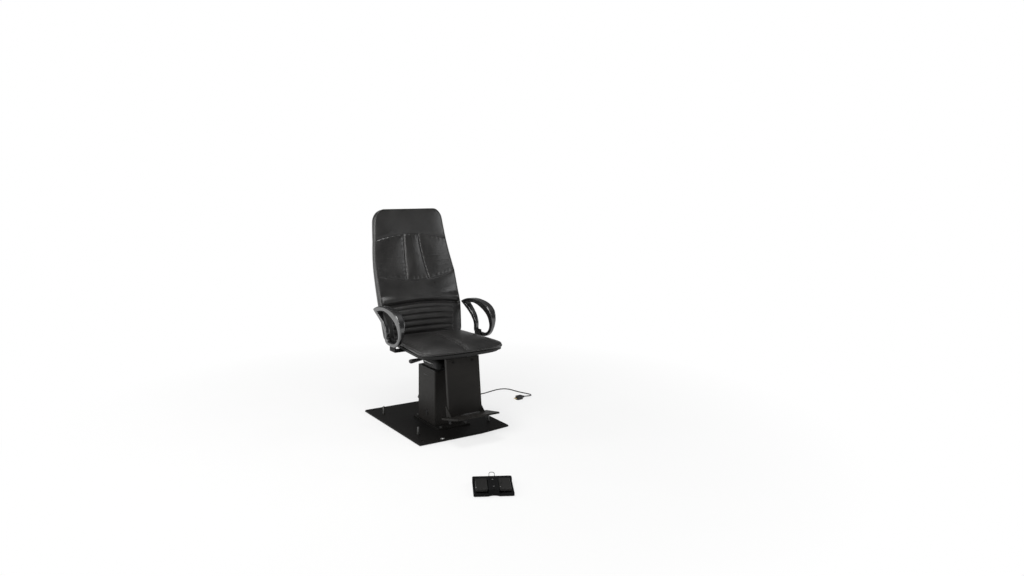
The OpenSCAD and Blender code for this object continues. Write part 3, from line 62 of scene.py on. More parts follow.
RECORD = frame["record"]
BODY_OF = {n: b for b, ns in RECORD["behaviour"]["bodies"].items() for n in ns}
SLOT_OF = {p["node"]: p["material_slot"] for p in RECORD["subparts"]}
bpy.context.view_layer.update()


# Sizes and colours

class ChairLeather(bpy.types.PropertyGroup):
    """Leather of the seat and the back"""
    colour: FloatVectorProperty(name="Colour", description="Base colour of the leather", subtype="COLOR",
                                size=3, min=0, max=1, default=(0.0108, 0.0104, 0.0101))
    # random wear on the leather, and also the darkest tone of the piping, whose lighter colour above it is
    # painted highlight
    worn_and_piping_highlight: FloatVectorProperty(name="Worn colour", description="Colour where the leather is rubbed",
                              subtype="COLOR", size=3, min=0, max=1, default=(0.0216, 0.0208, 0.0202))
    roughness: FloatProperty(name="Roughness", description="Mean roughness of the leather",
                             subtype="FACTOR", min=0, max=1, default=0.31)
    grain: FloatProperty(name="Grain", description="Width of one pebble of the grain",
                         unit="LENGTH", min=0.0004, max=0.01, default=0.0016)
    step: FloatProperty(name="Mesh step", description="Spacing of the cushion mesh before it is smoothed",
                        unit="LENGTH", min=0.003, max=0.02, default=0.007)
    pressure: FloatProperty(name="Pressure", description="Pressure that swells a cushion",
                            min=0, max=20, default=4.0)
    swell: FloatProperty(name="Swell", description="Furthest that a point of a cushion may swell",
                         unit="LENGTH", min=0, max=0.04, default=0.017)
    seam: FloatProperty(name="Seam width", description="Half width of the crease along a seam",
                        unit="LENGTH", min=0.001, max=0.01, default=0.0042)
    piping: FloatProperty(name="Piping", description="Radius of the piping along a seam",
                          unit="LENGTH", min=0.001, max=0.006, default=0.0026)
    stitch: FloatProperty(name="Stitch", description="Length of one stitch",
                          unit="LENGTH", min=0.002, max=0.01, default=0.0042)


class ChairPaint(bpy.types.PropertyGroup):
    """Paint, metal and plastic of the frame"""
    column: FloatVectorProperty(name="Column", description="Colour of the column's paint", subtype="COLOR",
                                size=3, min=0, max=1, default=(0.0125, 0.0115, 0.0105))
    base: FloatVectorProperty(name="Base", description="Colour of the base plate's paint", subtype="COLOR",
                              size=3, min=0, max=1, default=(0.0095, 0.0090, 0.0085))
    gloss: FloatVectorProperty(name="Gloss black", description="Colour of the footrest's paint",
                               subtype="COLOR", size=3, min=0, max=1, default=(0.0060, 0.0060, 0.0060))
    arms: FloatVectorProperty(name="Arms", description="Colour of the moulded arms", subtype="COLOR",
                              size=3, min=0, max=1, default=(0.0080, 0.0080, 0.0084))
    pedals: FloatVectorProperty(name="Pedals", description="Colour of the foot switch's pedals",
                                subtype="COLOR", size=3, min=0, max=1, default=(0.014, 0.0135, 0.013))
    edge: FloatProperty(name="Edge", description="Width of the broken edges of painted sheet metal",
                        unit="LENGTH", min=0.0001, max=0.005, default=0.0011)
    moulded_edge: FloatProperty(name="Moulded edge", description="Width of the round edges of mouldings",
                                unit="LENGTH", min=0.0005, max=0.02, default=0.0024)


class ChairCord(bpy.types.PropertyGroup):
    """Supply cord"""
    thickness: FloatProperty(name="Diameter", description="Diameter of the cord", unit="LENGTH",
                             min=0.003, max=0.015, default=0.007)
    reach: FloatProperty(name="Length", description="Whole length of the cord", unit="LENGTH",
                         min=0.5, max=6, default=2.984)
    coil: FloatProperty(name="Coil radius", description="Outer radius of the coil, to the cord's middle",
                        unit="LENGTH", min=0.03, max=0.1, default=0.056)


class ChairStage(bpy.types.PropertyGroup):
    """Camera, floor and lamps"""
    lens: FloatProperty(name="Lens", description="Focal length of the camera in millimetres",
                        min=10, max=200, default=27.97)
    heading: FloatProperty(name="Heading", description="Direction that the camera looks in",
                           subtype="ANGLE", default=math.radians(-33.58))
    tilt: FloatProperty(name="Tilt", description="How far the camera looks down", subtype="ANGLE",
                        default=math.radians(3.24))
    roll: FloatProperty(name="Roll", description="Turn of the camera about its own axis",
                        subtype="ANGLE", default=math.radians(0.42))
    place: FloatVectorProperty(name="Place", description="Place of the camera", subtype="TRANSLATION",
                               size=3, default=(-2.257, -4.163, 1.5))
    floor: FloatVectorProperty(name="Floor", description="Colour of the floor", subtype="COLOR", size=3,
                               min=0, max=1, default=(0.78, 0.78, 0.77))
    key: FloatProperty(name="Key lamp", description="Power of the key lamp in watts", min=0, max=2000,
                       default=80)
    fill: FloatProperty(name="Fill lamp", description="Power of the fill lamp in watts", min=0, max=2000,
                        default=36)
    rim: FloatProperty(name="Rim lamp", description="Power of the rim lamp in watts", min=0, max=2000,
                       default=42)
    top: FloatProperty(name="Top lamp", description="Power of the lamp overhead in watts", min=0, max=2000,
                       default=44)


# Small tools

# how near each other points are merged, in a CAD node's mesh and in one made here
CAD_MERGE, OWN_MERGE = 0.00002, 0.00001
# how far in degrees two faces may lean and still be joined
FLAT_ANGLE = 0.6
DOWN = (0, 0, -1)
SIDES = ((-1, "left"), (1, "right"))


def put_down():
    """Nothing stays selected."""
    if bpy.context.object and bpy.context.object.mode != "OBJECT":
        bpy.ops.object.mode_set(mode="OBJECT")
    bpy.ops.object.select_all(action="DESELECT")


def pick(obj):
    put_down()
    obj.select_set(True)
    bpy.context.view_layer.objects.active = obj
    return obj


def editing(obj):
    """Edit mode on one piece with all of it selected."""
    pick(obj)
    bpy.ops.object.mode_set(mode="EDIT")
    bpy.ops.mesh.select_all(action="SELECT")


def done_editing():
    bpy.ops.object.mode_set(mode="OBJECT")


def metres(points):
    """Points in millimetres, in metres."""
    return [tuple(c / 1000 for c in p) for p in points]


def new_piece(name, data):
    """New object in the scene with this mesh or curve."""
    obj = bpy.data.objects.new(name, data)
    bpy.context.scene.collection.objects.link(obj)
    return obj


def merged_copy(node, name):
    """New object with a CAD node's mesh, its doubles merged and its flat faces joined."""
    mesh = frame["nodes"][node].data.copy()
    mesh.materials.clear()
    obj = new_piece(name, mesh)
    editing(obj)
    bpy.ops.mesh.remove_doubles(threshold=CAD_MERGE)
    bpy.ops.mesh.dissolve_limited(angle_limit=math.radians(FLAT_ANGLE))
    done_editing()
    for key in ("custom_normal", "sharp_edge", "sharp_face"):
        layer = mesh.attributes.get(key)
        if layer:
            mesh.attributes.remove(layer)
    return obj


def modify(obj, kind, **settings):
    """Adds a modifier with these settings and applies it."""
    pick(obj)
    made = obj.modifiers.new(kind.title(), kind)
    for key, value in settings.items():
        setattr(made, key, value)
    bpy.ops.object.modifier_apply(modifier=made.name)


def soften(obj, width, segments=2, angle=32):
    modify(obj, "BEVEL", width=width, segments=segments, limit_method="ANGLE",
           angle_limit=math.radians(angle), use_clamp_overlap=True, miter_outer="MITER_ARC")


def shade(obj, angle):
    pick(obj)
    bpy.ops.object.shade_smooth_by_angle(angle=math.radians(angle))


def outwards(obj):
    editing(obj)
    bpy.ops.mesh.remove_doubles(threshold=OWN_MERGE)
    bpy.ops.mesh.normals_make_consistent(inside=False)
    done_editing()


def settle(obj):
    """The piece's place goes into its mesh."""
    pick(obj)
    bpy.ops.object.transform_apply(location=True, rotation=True, scale=True)


def wear(obj, body, slot, nodes=(), finish=None):
    """Gives a piece its body and its finish, named by its slot unless another finish is given, and hides
    the nodes that it stands for.
    """
    settle(obj)
    obj.data.materials.clear()
    obj.data.materials.append(finish_of(finish or slot))
    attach(obj, body)
    if nodes:
        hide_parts(*nodes)
    return obj


def solid_from(name, points, faces):
    mesh = bpy.data.meshes.new(name)
    mesh.from_pydata(points, [], faces)
    mesh.update()
    return new_piece(name, mesh)


def round_line(name, points, radius, rings, closed=False):
    """Round curve along a line of points, with filled ends where it isn't closed."""
    data = bpy.data.curves.new(name, "CURVE")
    data.dimensions = "3D"
    data.bevel_depth = radius
    data.bevel_resolution = rings
    data.use_fill_caps = not closed
    line = data.splines.new("POLY")
    line.points.add(len(points) - 1)
    for place, point in zip(line.points, points):
        place.co = (*point, 1)
    line.use_cyclic_u = closed
    return new_piece(name, data)


def run_of(name, points, radius, closed=False):
    """Round strip along a line of points, as a mesh with closed ends."""
    obj = round_line(name, points, radius, 1, closed)
    pick(obj)
    bpy.ops.object.convert(target="MESH")
    outwards(obj)
    shade(obj, 60)
    return obj


def dress(node, width, segments=2, name=None, finish=None):
    """A CAD node's own shape with broken edges, in its place."""
    obj = merged_copy(node, name or node + "_dressed")
    soften(obj, width, segments)
    shade(obj, 36)
    modify(obj, "WEIGHTED_NORMAL", keep_sharp=True)
    return wear(obj, BODY_OF[node], SLOT_OF[node], [node], finish)


def rounded(node, voxel, rounds, name=None, edge=0.0):
    """A CAD node's shape as a soft moulding or casting, its edges broken first where edge is given."""
    obj = merged_copy(node, name or node + "_moulded")
    if edge:
        soften(obj, edge, 3, 40)
    modify(obj, "REMESH", mode="VOXEL", voxel_size=voxel)
    modify(obj, "SMOOTH", factor=0.5, iterations=rounds)
    shade(obj, 80)
    return wear(obj, BODY_OF[node], SLOT_OF[node], [node])


# Finishes

class Bench:
    """A node tree and the nodes that are put on it."""

    def __init__(self, tree):
        self.tree = tree

    def add(self, kind, values=(), **settings):
        """New node with these settings, and these values on its sockets."""
        made = self.tree.nodes.new(kind)
        for key, value in settings.items():
            setattr(made, key, value)
        for key, value in dict(values).items():
            made.inputs[key].default_value = value
        return made

    def link(self, a, b):
        self.tree.links.new(a, b)

    def ramp(self, value, *stops):
        """Colour ramp whose stops are given from left to right."""
        made = self.add("ShaderNodeValToRGB")
        bar = made.color_ramp.elements
        while len(bar) < len(stops):
            bar.new(0.5)
        for mark, (place, colour) in zip(bar, stops):
            mark.position = place
            mark.color = (*colour, 1)
        self.link(value, made.inputs["Fac"])
        return made.outputs["Color"]

    def blend(self, share, first, second):
        """Mix of two shaders."""
        made = self.add("ShaderNodeMixShader")
        self.link(share, made.inputs["Fac"])
        self.link(first, made.inputs[1])
        self.link(second, made.inputs[2])
        return made.outputs["Shader"]

    def maths(self, operation, a, b):
        made = self.add("ShaderNodeMath", operation=operation)
        self.link(a, made.inputs[0])
        self.link(b, made.inputs[1])
        return made.outputs["Value"]


class Finish(Bench):
    """One material, made from patterns on the piece's own coordinates."""

    def __init__(self, name):
        self.material = bpy.data.materials.new(name)
        self.material.use_nodes = True
        super().__init__(self.material.node_tree)
        self.shader = self.tree.nodes["Principled BSDF"]
        self.coords = self.add("ShaderNodeTexCoord").outputs["Object"]

    def put(self, **values):
        for key, value in values.items():
            self.shader.inputs[key.replace("_", " ")].default_value = value

    def noise(self, scale, detail=3.0, rough=0.55, distortion=0.0, stretch=None):
        made = self.add("ShaderNodeTexNoise", {"Scale": scale, "Detail": detail, "Roughness": rough,
                                               "Distortion": distortion})
        source = self.coords
        if stretch:
            mapping = self.add("ShaderNodeMapping", {"Scale": stretch})
            self.link(source, mapping.inputs["Vector"])
            source = mapping.outputs["Vector"]
        self.link(source, made.inputs["Vector"])
        return made.outputs["Fac"]

    def cells(self, scale, feature="F1"):
        made = self.add("ShaderNodeTexVoronoi", {"Scale": scale}, feature=feature)
        self.link(self.coords, made.inputs["Vector"])
        return made.outputs["Distance"]

    def span(self, value, low, high, start=0.0, end=1.0):
        made = self.add("ShaderNodeMapRange", {"From Min": start, "From Max": end, "To Min": low,
                                               "To Max": high})
        self.link(value, made.inputs["Value"])
        return made.outputs["Result"]

    def sum(self, a, b, share=0.5):
        made = self.add("ShaderNodeMix", {"Factor": share}, data_type="FLOAT")
        self.link(a, made.inputs["A"])
        self.link(b, made.inputs["B"])
        return made.outputs["Result"]

    def colour_from(self, value, *stops):
        self.link(self.ramp(value, *stops), self.shader.inputs["Base Color"])

    def rough_from(self, value, low, high):
        """Roughness from low to high over the middle of a noise's range."""
        self.link(self.span(value, low, high, 0.3, 0.7), self.shader.inputs["Roughness"])

    def bump(self, *layers):
        """Each layer is a height, its depth in metres and its strength."""
        normal = None
        for height, depth, strength in layers:
            made = self.add("ShaderNodeBump", {"Distance": depth, "Strength": strength})
            self.link(height, made.inputs["Height"])
            if normal:
                self.link(normal, made.inputs["Normal"])
            normal = made.outputs["Normal"]
        self.link(normal, self.shader.inputs["Normal"])


FINISHES = {}


def finish_of(name):
    """Each finish is made once."""
    if name not in FINISHES:
        FINISHES[name] = MAKERS[name]()
    return FINISHES[name]


def lighter(colour, share):
    return tuple(min(1.0, c * share) for c in colour)


def make_leather():
    """Pebbled leather with fine creases and broad folds, and lighter worn-looking patches spread at random.
    """
    look = bpy.context.scene.chair_leather
    b = Finish("black_leather")
    pebbles = b.cells(1 / look.grain)
    creases = b.span(b.cells(1 / look.grain * 0.55, "DISTANCE_TO_EDGE"), 0, 1, 0, 0.12)
    folds = b.noise(34, 4, 0.6, 1.6)
    broad = b.noise(7, 3, 0.5)
    b.colour_from(broad, (0.35, tuple(look.colour)), (0.7, tuple(look.worn_and_piping_highlight)))
    b.rough_from(b.sum(broad, b.noise(55, 3, 0.6), 0.45), look.roughness - 0.05, look.roughness + 0.12)
    b.put(Specular_IOR_Level=0.5, Coat_Weight=0.08, Coat_Roughness=0.22)
    b.bump((folds, 0.0016, 0.35), (creases, 0.00022, 0.5), (pebbles, 0.0003, 0.42))
    return b.material


def make_piping_painted_highlight():
    look = bpy.context.scene.chair_leather
    b = Finish("leather_piping")
    # painted highlight: the piping is the same black leather, but its colour runs from the worn tone up to
    # 2.4 times it, lighter than the leather, to stand for the catch-light along its round top
    b.colour_from(b.noise(60, 3), (0.3, tuple(look.worn_and_piping_highlight)), (0.75, lighter(look.worn_and_piping_highlight, 2.4)))
    b.rough_from(b.noise(90, 2), 0.26, 0.40)
    b.put(Specular_IOR_Level=0.6)
    b.bump((b.cells(900), 0.00018, 0.4))
    return b.material


def make_thread():
    b = Finish("black_thread")
    b.colour_from(b.noise(900, 2), (0.3, (0.009, 0.009, 0.009)), (0.7, (0.020, 0.0195, 0.019)))
    b.rough_from(b.noise(500, 2), 0.55, 0.75)
    b.put(Specular_IOR_Level=0.25)
    b.bump((b.noise(2600, 2), 0.0002, 0.5))
    return b.material


def make_paint(name, colour, rough, peel=0.00016, scale=620, spec=0.3, dust=1.45):
    """Sprayed paint with a fine orange peel and slight wear in its tone."""
    b = Finish(name)
    broad = b.noise(4.5, 4, 0.6, 0.4)
    b.colour_from(broad, (0.32, tuple(colour)), (0.72, lighter(colour, dust)))
    b.rough_from(b.sum(broad, b.noise(70, 3, 0.6)), rough - 0.05, rough + 0.09)
    b.put(Specular_IOR_Level=spec)
    b.bump((b.noise(18, 2), 0.0007, 0.08), (b.noise(scale, 3, 0.5), peel, 0.5))
    return b.material


def make_metal(name, colour, rough, scale, depth=0.00008, stretch=None):
    """Plated or drawn metal, its marks along one direction where they are stretched."""
    b = Finish(name)
    lines = b.noise(scale, 4, 0.65, 0.0, stretch)
    b.colour_from(b.sum(lines, b.noise(22, 3)), (0.3, lighter(colour, 0.75)), (0.7, tuple(colour)))
    b.rough_from(lines, rough - 0.07, rough + 0.10)
    b.put(Metallic=1.0)
    b.bump((lines, depth, 0.45))
    return b.material


def make_plastic(name, colour, rough, scale=1500, depth=0.00012, spec=0.5, light=1.35, coat=0.0):
    """Moulded plastic with a fine spark texture."""
    b = Finish(name)
    broad = b.noise(9, 3, 0.55)
    b.colour_from(broad, (0.3, tuple(colour)), (0.7, lighter(colour, light)))
    b.rough_from(b.sum(broad, b.noise(120, 2)), rough - 0.05, rough + 0.08)
    b.put(Specular_IOR_Level=spec, Coat_Weight=coat, Coat_Roughness=0.12)
    b.bump((b.noise(26, 2), 0.0006, 0.07), (b.noise(scale, 2), depth, 0.45))
    return b.material


def make_rubber(name, colour, rough=0.62):
    b = Finish(name)
    b.colour_from(b.noise(40, 4, 0.6), (0.3, tuple(colour)), (0.75, lighter(colour, 1.8)))
    b.rough_from(b.noise(90, 3), rough - 0.08, rough + 0.12)
    b.put(Specular_IOR_Level=0.35)
    b.bump((b.noise(420, 3), 0.00025, 0.5))
    return b.material


def paints():
    return bpy.context.scene.chair_paint


MAKERS = {
    "black_leather": make_leather,
    "piping": make_piping_painted_highlight,
    "thread": make_thread,
    "base_paint": lambda: make_paint("base_enamel", lighter(paints().base, 0.85), 0.5, spec=0.1),
    "column_paint": lambda: make_paint("column_enamel", paints().column, 0.46, spec=0.14, dust=1.6),
    "mechanism_paint": lambda: make_paint("casting_black", (0.007, 0.007, 0.007), 0.5, 0.0004, 260, 0.14),
    "gloss_black": lambda: make_paint("lift_head_black", paints().gloss, 0.45, 0.0001, 420, 0.12),
    "zinc_steel": lambda: make_metal("zinc_plated_steel", (0.19, 0.19, 0.185), 0.42, 240),
    "bright_metal": lambda: make_metal("bright_steel", (0.80, 0.80, 0.79), 0.34, 500, stretch=(1, 1, 0.08)),
    "actuator_alloy": lambda: make_metal("cast_alloy", (0.56, 0.57, 0.58), 0.46, 160, 0.0002),
    "motor_paint": lambda: make_paint("motor_grey", (0.09, 0.093, 0.098), 0.45),
    "pin_brass": lambda: make_metal("pin_brass", (0.72, 0.55, 0.26), 0.26, 380),
    "guide_plastic": lambda: make_plastic("guide_white", (0.62, 0.61, 0.57), 0.38, light=1.1),
    "black_plastic": lambda: make_plastic("black_plastic", (0.0075, 0.0075, 0.0078), 0.36, spec=0.4),
    "pan_plastic": lambda: make_plastic("pan_plastic", (0.008, 0.0078, 0.0076), 0.5, 700, 0.0003, 0.3),
    "arm_plastic": lambda: make_plastic("arm_moulding", paints().arms, 0.2, 1100, 0.0001, 1.0, coat=0.4),
    "rubber_parts": lambda: make_rubber("black_rubber", (0.013, 0.013, 0.013)),
    "cord_rubber": lambda: make_rubber("cord_rubber", (0.0125, 0.0125, 0.013), 0.5),
    "switch_paint": lambda: make_paint("switch_casting", (0.0055, 0.0055, 0.0057), 0.55, 0.0003, 380, 0.06),
    "pedal_paint": lambda: make_paint("pedal_paint", paints().pedals, 0.5, 0.0003, 420, 0.16, dust=1.3),
}


class CHAIR_OT_finishes(bpy.types.Operator):
    """Gives every node of the frame its finish"""
    bl_idname = "chair.finishes"
    bl_label = "Finishes of the frame"

    def execute(self, context):
        for node, obj in frame["nodes"].items():
            obj.data.materials.clear()
            obj.data.materials.append(finish_of(SLOT_OF[node]))
        return {"FINISHED"}


# Camera and cord

SENSOR_WIDTH, CAMERA_SHIFT, FAR_CLIP = 36, -0.0676, 200


class CHAIR_OT_camera(bpy.types.Operator):
    """Places the camera at eye height in front of the chair's left"""
    bl_idname = "chair.camera"
    bl_label = "Camera"

    def execute(self, context):
        look = context.scene.chair_stage
        put_down()
        bpy.ops.object.camera_add(location=look.place)
        camera = context.object
        camera.name = "studio_camera"
        turn = Euler((math.pi / 2 - look.tilt, 0, look.heading)).to_matrix().to_4x4()
        camera.matrix_world = Matrix.Translation(look.place) @ turn @ Matrix.Rotation(look.roll, 4, "Z")
        camera.data.lens = look.lens
        camera.data.sensor_width = SENSOR_WIDTH
        camera.data.shift_y = CAMERA_SHIFT
        camera.data.clip_end = FAR_CLIP
        context.scene.camera = camera
        return {"FINISHED"}


CORD_TAIL = [(40, 144, 46), (40, 158, 45.5), (40, 176, 42), (42, 196, 34), (46, 218, 26), (51, 242, 21),
             (58, 270, 19.7), (68, 305, 19.7), (80, 345, 19.7), (92, 385, 19.7), (104, 420, 19.7),
             (111, 440, 19.5), (118, 458, 15.5), (123, 476, 9), (126, 494, 4.8), (127, 511, 3.7),
             (127, 528, 3.5)]
CORD_LEAD = [(204, 588.8, 11.1), (220, 588, 10.6), (240, 585, 8.2), (264, 577, 5.2), (290, 564, 3.8),
             (318, 546, 3.5), (348, 521, 3.5), (380, 490, 3.5), (414, 456, 3.5), (448, 424, 3.5),
             (482, 402, 3.5), (518, 393, 3.5), (558, 397, 3.5), (598, 408, 3.5), (636, 419, 3.5),
             (672, 427, 3.5), (706, 427, 3.5), (734, 415, 3.5), (752, 392, 3.5), (760, 362, 3.5),
             (766, 328, 3.5), (775, 292, 3.5), (787, 258, 3.5), (799, 230, 3.5), (803, 206, 3.6),
             (795, 185, 4.4), (777, 173, 6.4), (755, 168.6, 9), (735, 166.5, 11.2), (722, 165.2, 12)]
COIL_MIDDLE = (0.183, 0.535)
COIL_LOOPS, COIL_TURNS, COIL_PITCH, COIL_LAYER, LOOP_POINTS = 3, 6.25, 0.0088, 0.0076, 24


def coil_points(outer, thickness):
    """Three loops inwards on the floor, half a turn up, then outwards on top of them."""
    inner = outer - COIL_LOOPS * COIL_PITCH
    points = []
    for i in range(round(COIL_TURNS * LOOP_POINTS) + 1):
        t = i / LOOP_POINTS
        a = math.radians(180 - 360 * t)
        if t < COIL_LOOPS:
            r, rise = outer - t * COIL_PITCH, 0
        elif t < COIL_LOOPS + 0.5:
            r, rise = inner, (1 - math.cos(2 * math.pi * (t - COIL_LOOPS))) / 2
        else:
            r, rise = inner + (t - COIL_LOOPS - 0.5) * COIL_PITCH, 1
        points.append((COIL_MIDDLE[0] + r * math.cos(a), COIL_MIDDLE[1] + r * math.sin(a),
                       thickness / 2 + COIL_LAYER * rise))
    return points


class CHAIR_OT_cord(bpy.types.Operator):
    """Supply cord from its gland over the plate, through its coil and along the floor to the plug"""
    bl_idname = "chair.cord"
    bl_label = "Supply cord"

    def execute(self, context):
        look = context.scene.chair_cord
        coil = coil_points(look.coil, look.thickness)
        start = (coil[0][0], coil[0][1] - look.thickness, coil[0][2])
        end = (coil[-1][0] + look.thickness, coil[-1][1], coil[-1][2])
        path = metres(CORD_TAIL[:-1]) + [start] + coil + [end] + metres(CORD_LEAD)
        cord = round_line("supply_cord", path, look.thickness / 2, 4)
        cord.data.materials.append(finish_of("cord_rubber"))
        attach(cord, "base")
        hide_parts("cord_tail", "cord_coil", "cord_lead")
        return {"FINISHED"}


class CHAIR_OT_plug(bpy.types.Operator):
    """Moulded plug on the end of the cord, with finger grips"""
    bl_idname = "chair.plug"
    bl_label = "Plug"

    def execute(self, context):
        dress("plug_body", 0.0026, 3, "plug_dressed", "black_plastic")
        return {"FINISHED"}


# Studio

# name, place, what it is aimed at, width and height, tint
LAMPS = (("key", (-3.1, -1.9, 2.9), (0, 0, 0.6), (2.2, 1.6), (1, 0.995, 0.985)),
         ("fill", (3.6, -1.6, 2.0), (0, 0, 0.6), (1.8, 1.8), (0.98, 0.99, 1)),
         ("rim", (-3.4, 1.7, 1.7), (0, 0, 0.8), (1.4, 1.8), (1, 1, 1)),
         ("top", (-0.5, -0.1, 3.3), (0, -0.1, 0.6), (1.1, 1.1), (1, 1, 1)))
SKY_LIGHT, SKY_STRENGTH = (0.94, 0.95, 0.96, 1), 0.42
# in gloss the backdrop is pale at the horizon, dim above it and bright straight overhead
GLOSS_BANDS = ((0, 0.6), (0.08, 0.4), (0.18, 0.14), (0.8, 0.12), (0.94, 0.6))
# how white the floor is beside the chair, and from where to where it fades to the backdrop
NEAR_GLOW, GLOW_REACH = 0.72, (0.9, 2.4)


class CHAIR_OT_stage(bpy.types.Operator):
    """Pale floor that runs out into a white backdrop, and four soft lamps"""
    bl_idname = "chair.stage"
    bl_label = "Studio"

    def lamp(self, name, place, aim, size, tint, watts):
        bpy.ops.object.light_add(type="AREA", location=place)
        lamp = bpy.context.object
        lamp.name = name
        lamp.data.shape = "RECTANGLE"
        lamp.data.size, lamp.data.size_y = size
        lamp.data.energy = watts
        lamp.data.color = tint
        lamp.rotation_euler = (Vector(aim) - Vector(place)).to_track_quat("-Z", "Y").to_euler()
        lamp.visible_camera = False

    def floor_finish(self, colour):
        b = Finish("studio_floor")
        b.colour_from(b.noise(0.7, 4, 0.5), (0.3, tuple(colour)), (0.7, lighter(colour, 1.03)))
        b.rough_from(b.noise(3, 3), 0.55, 0.7)
        b.put(Specular_IOR_Level=0.25)
        # where it is seen directly or in gloss, the far floor fades to the backdrop's white
        path = b.add("ShaderNodeLightPath").outputs
        glow = b.add("ShaderNodeEmission", {"Color": (1, 1, 1, 1)})
        away = b.add("ShaderNodeVectorMath", operation="LENGTH")
        b.link(b.coords, away.inputs[0])
        far = b.span(away.outputs["Value"], NEAR_GLOW, 1, *GLOW_REACH)
        direct = b.maths("MAXIMUM", path["Is Camera Ray"], path["Is Glossy Ray"])
        share = b.maths("MULTIPLY", far, direct)
        mixed = b.blend(share, b.shader.outputs["BSDF"], glow.outputs["Emission"])
        b.link(mixed, b.tree.nodes["Material Output"].inputs["Surface"])
        return b.material

    def sky(self, world):
        """White to the camera, plain light on the object, and bands of grey in gloss."""
        b = Bench(world.node_tree)
        plain = b.tree.nodes["Background"]
        plain.inputs["Color"].default_value = SKY_LIGHT
        plain.inputs["Strength"].default_value = SKY_STRENGTH
        white = b.add("ShaderNodeBackground", {"Color": (1, 1, 1, 1)})
        path = b.add("ShaderNodeLightPath").outputs
        seen = b.maths("MAXIMUM", path["Is Camera Ray"], path["Is Transmission Ray"])
        way = b.add("ShaderNodeTexCoord")
        split = b.add("ShaderNodeSeparateXYZ")
        b.link(way.outputs["Generated"], split.inputs["Vector"])
        dome = b.add("ShaderNodeBackground")
        bands = [(z, (grey, grey, grey)) for z, grey in GLOSS_BANDS]
        b.link(b.ramp(split.outputs["Z"], *bands), dome.inputs["Color"])
        lit = b.blend(path["Is Glossy Ray"], plain.outputs["Background"], dome.outputs["Background"])
        b.link(b.blend(seen, lit, white.outputs["Background"]),
               b.tree.nodes["World Output"].inputs["Surface"])

    def execute(self, context):
        look = context.scene.chair_stage
        put_down()
        bpy.ops.mesh.primitive_grid_add(x_subdivisions=12, y_subdivisions=12, size=60, location=(0, 0, 0))
        floor = context.object
        floor.name = "studio_floor"
        settle(floor)
        floor.data.materials.append(self.floor_finish(look.floor))
        for name, place, aim, size, tint in LAMPS:
            self.lamp(name + "_lamp", place, aim, size, tint, getattr(look, name))
        world = bpy.data.worlds.new("studio_world")
        world.use_nodes = True
        self.sky(world)
        context.scene.world = world
        context.scene.view_settings.view_transform = "Standard"
        return {"FINISHED"}


# Cushions

TAGS = ("along", "across")
SWELL_FRAMES = 16
THREAD_RADIUS, THREAD_LIFT, STITCH_PITCH = 0.0006, 0.0003, 0.0072
# a direction that no row of stitches follows
OFF_ROW = Vector((0.3, -0.8, 0.5))
# how far off a piece a line starts before it is dropped onto it
DROP_FROM = 0.2


def between(a, b, share):
    return a + (b - a) * share


def bell(distance, width):
    return math.exp(-(distance / width) ** 2)


def clamped(value):
    return min(1, max(0, value))


def dip(distance, shape):
    """Groove across a line, its shape given as depth and half width."""
    depth, width = shape
    return depth * bell(distance, width)


def ripple(phase, wander, slow):
    """Wave whose pace wanders."""
    return math.sin(phase + wander * math.sin(slow))


def spread(marks, step):
    """Values from mark to mark, evenly spaced, that meet every mark."""
    out = [marks[0]]
    for a, b in zip(marks, marks[1:]):
        n = max(1, round(abs(b - a) / step))
        out += [between(a, b, k / n) for k in range(1, n + 1)]
    return out


def patch_point(edge, r, c, bottom, right):
    """Point inside a patch that is spanned between its four edges."""
    v, u = r / bottom, c / right
    across = edge[r, 0].lerp(edge[r, right], u)
    along = edge[0, c].lerp(edge[bottom, c], v)
    corner = edge[0, 0].lerp(edge[0, right], u).lerp(edge[bottom, 0].lerp(edge[bottom, right], u), v)
    return across + along - corner


def border_loop(rows, cols):
    """Row and column of each point on a grid's border, once around."""
    return ([(0, c) for c in range(cols)] + [(r, cols - 1) for r in range(1, rows)]
            + [(rows - 1, c) for c in range(cols - 2, -1, -1)] + [(r, 0) for r in range(rows - 2, 0, -1)])


def cushion_solid(name, grid, rims, tags):
    """Closed cushion: a front grid of rows, loops down its side and a flat far face.

    The tags of the grid's points are kept as two attributes, which follow the surface.
    """
    rows, cols = len(grid), len(grid[0])
    loop = border_loop(rows, cols)
    points = [p for row in grid for p in row]
    marks = [m for row in tags for m in row]
    faces = [(r * cols + c, r * cols + c + 1, (r + 1) * cols + c + 1, (r + 1) * cols + c)
             for r in range(rows - 1) for c in range(cols - 1)]
    border = [r * cols + c for r, c in loop]
    last, n = border, len(loop)
    for rim in rims:
        now = list(range(len(points), len(points) + n))
        points += rim
        marks += [tags[r][c] for r, c in loop]
        faces += [(last[j], now[j], now[(j + 1) % n], last[(j + 1) % n]) for j in range(n)]
        last = now
    far = dict(zip(loop, last))
    ends = {key: Vector(points[i]) for key, i in far.items()}
    for r in range(1, rows - 1):
        for c in range(1, cols - 1):
            far[r, c] = len(points)
            points.append(tuple(patch_point(ends, r, c, rows - 1, cols - 1)))
            marks.append((0, 0))
    faces += [(far[r, c], far[r + 1, c], far[r + 1, c + 1], far[r, c + 1])
              for r in range(rows - 1) for c in range(cols - 1)]
    obj = solid_from(name, points, faces)
    for k, key in enumerate(TAGS):
        layer = obj.data.attributes.new(key, "FLOAT", "POINT")
        layer.data.foreach_set("value", [m[k] for m in marks])
    editing(obj)
    bpy.ops.mesh.normals_make_consistent(inside=False)
    done_editing()
    return obj, border


def tagged_points(obj):
    """Each point of a cushion with its two tags."""
    along, across = (obj.data.attributes[key].data for key in TAGS)
    for i, vertex in enumerate(obj.data.vertices):
        yield vertex, along[i].value, across[i].value


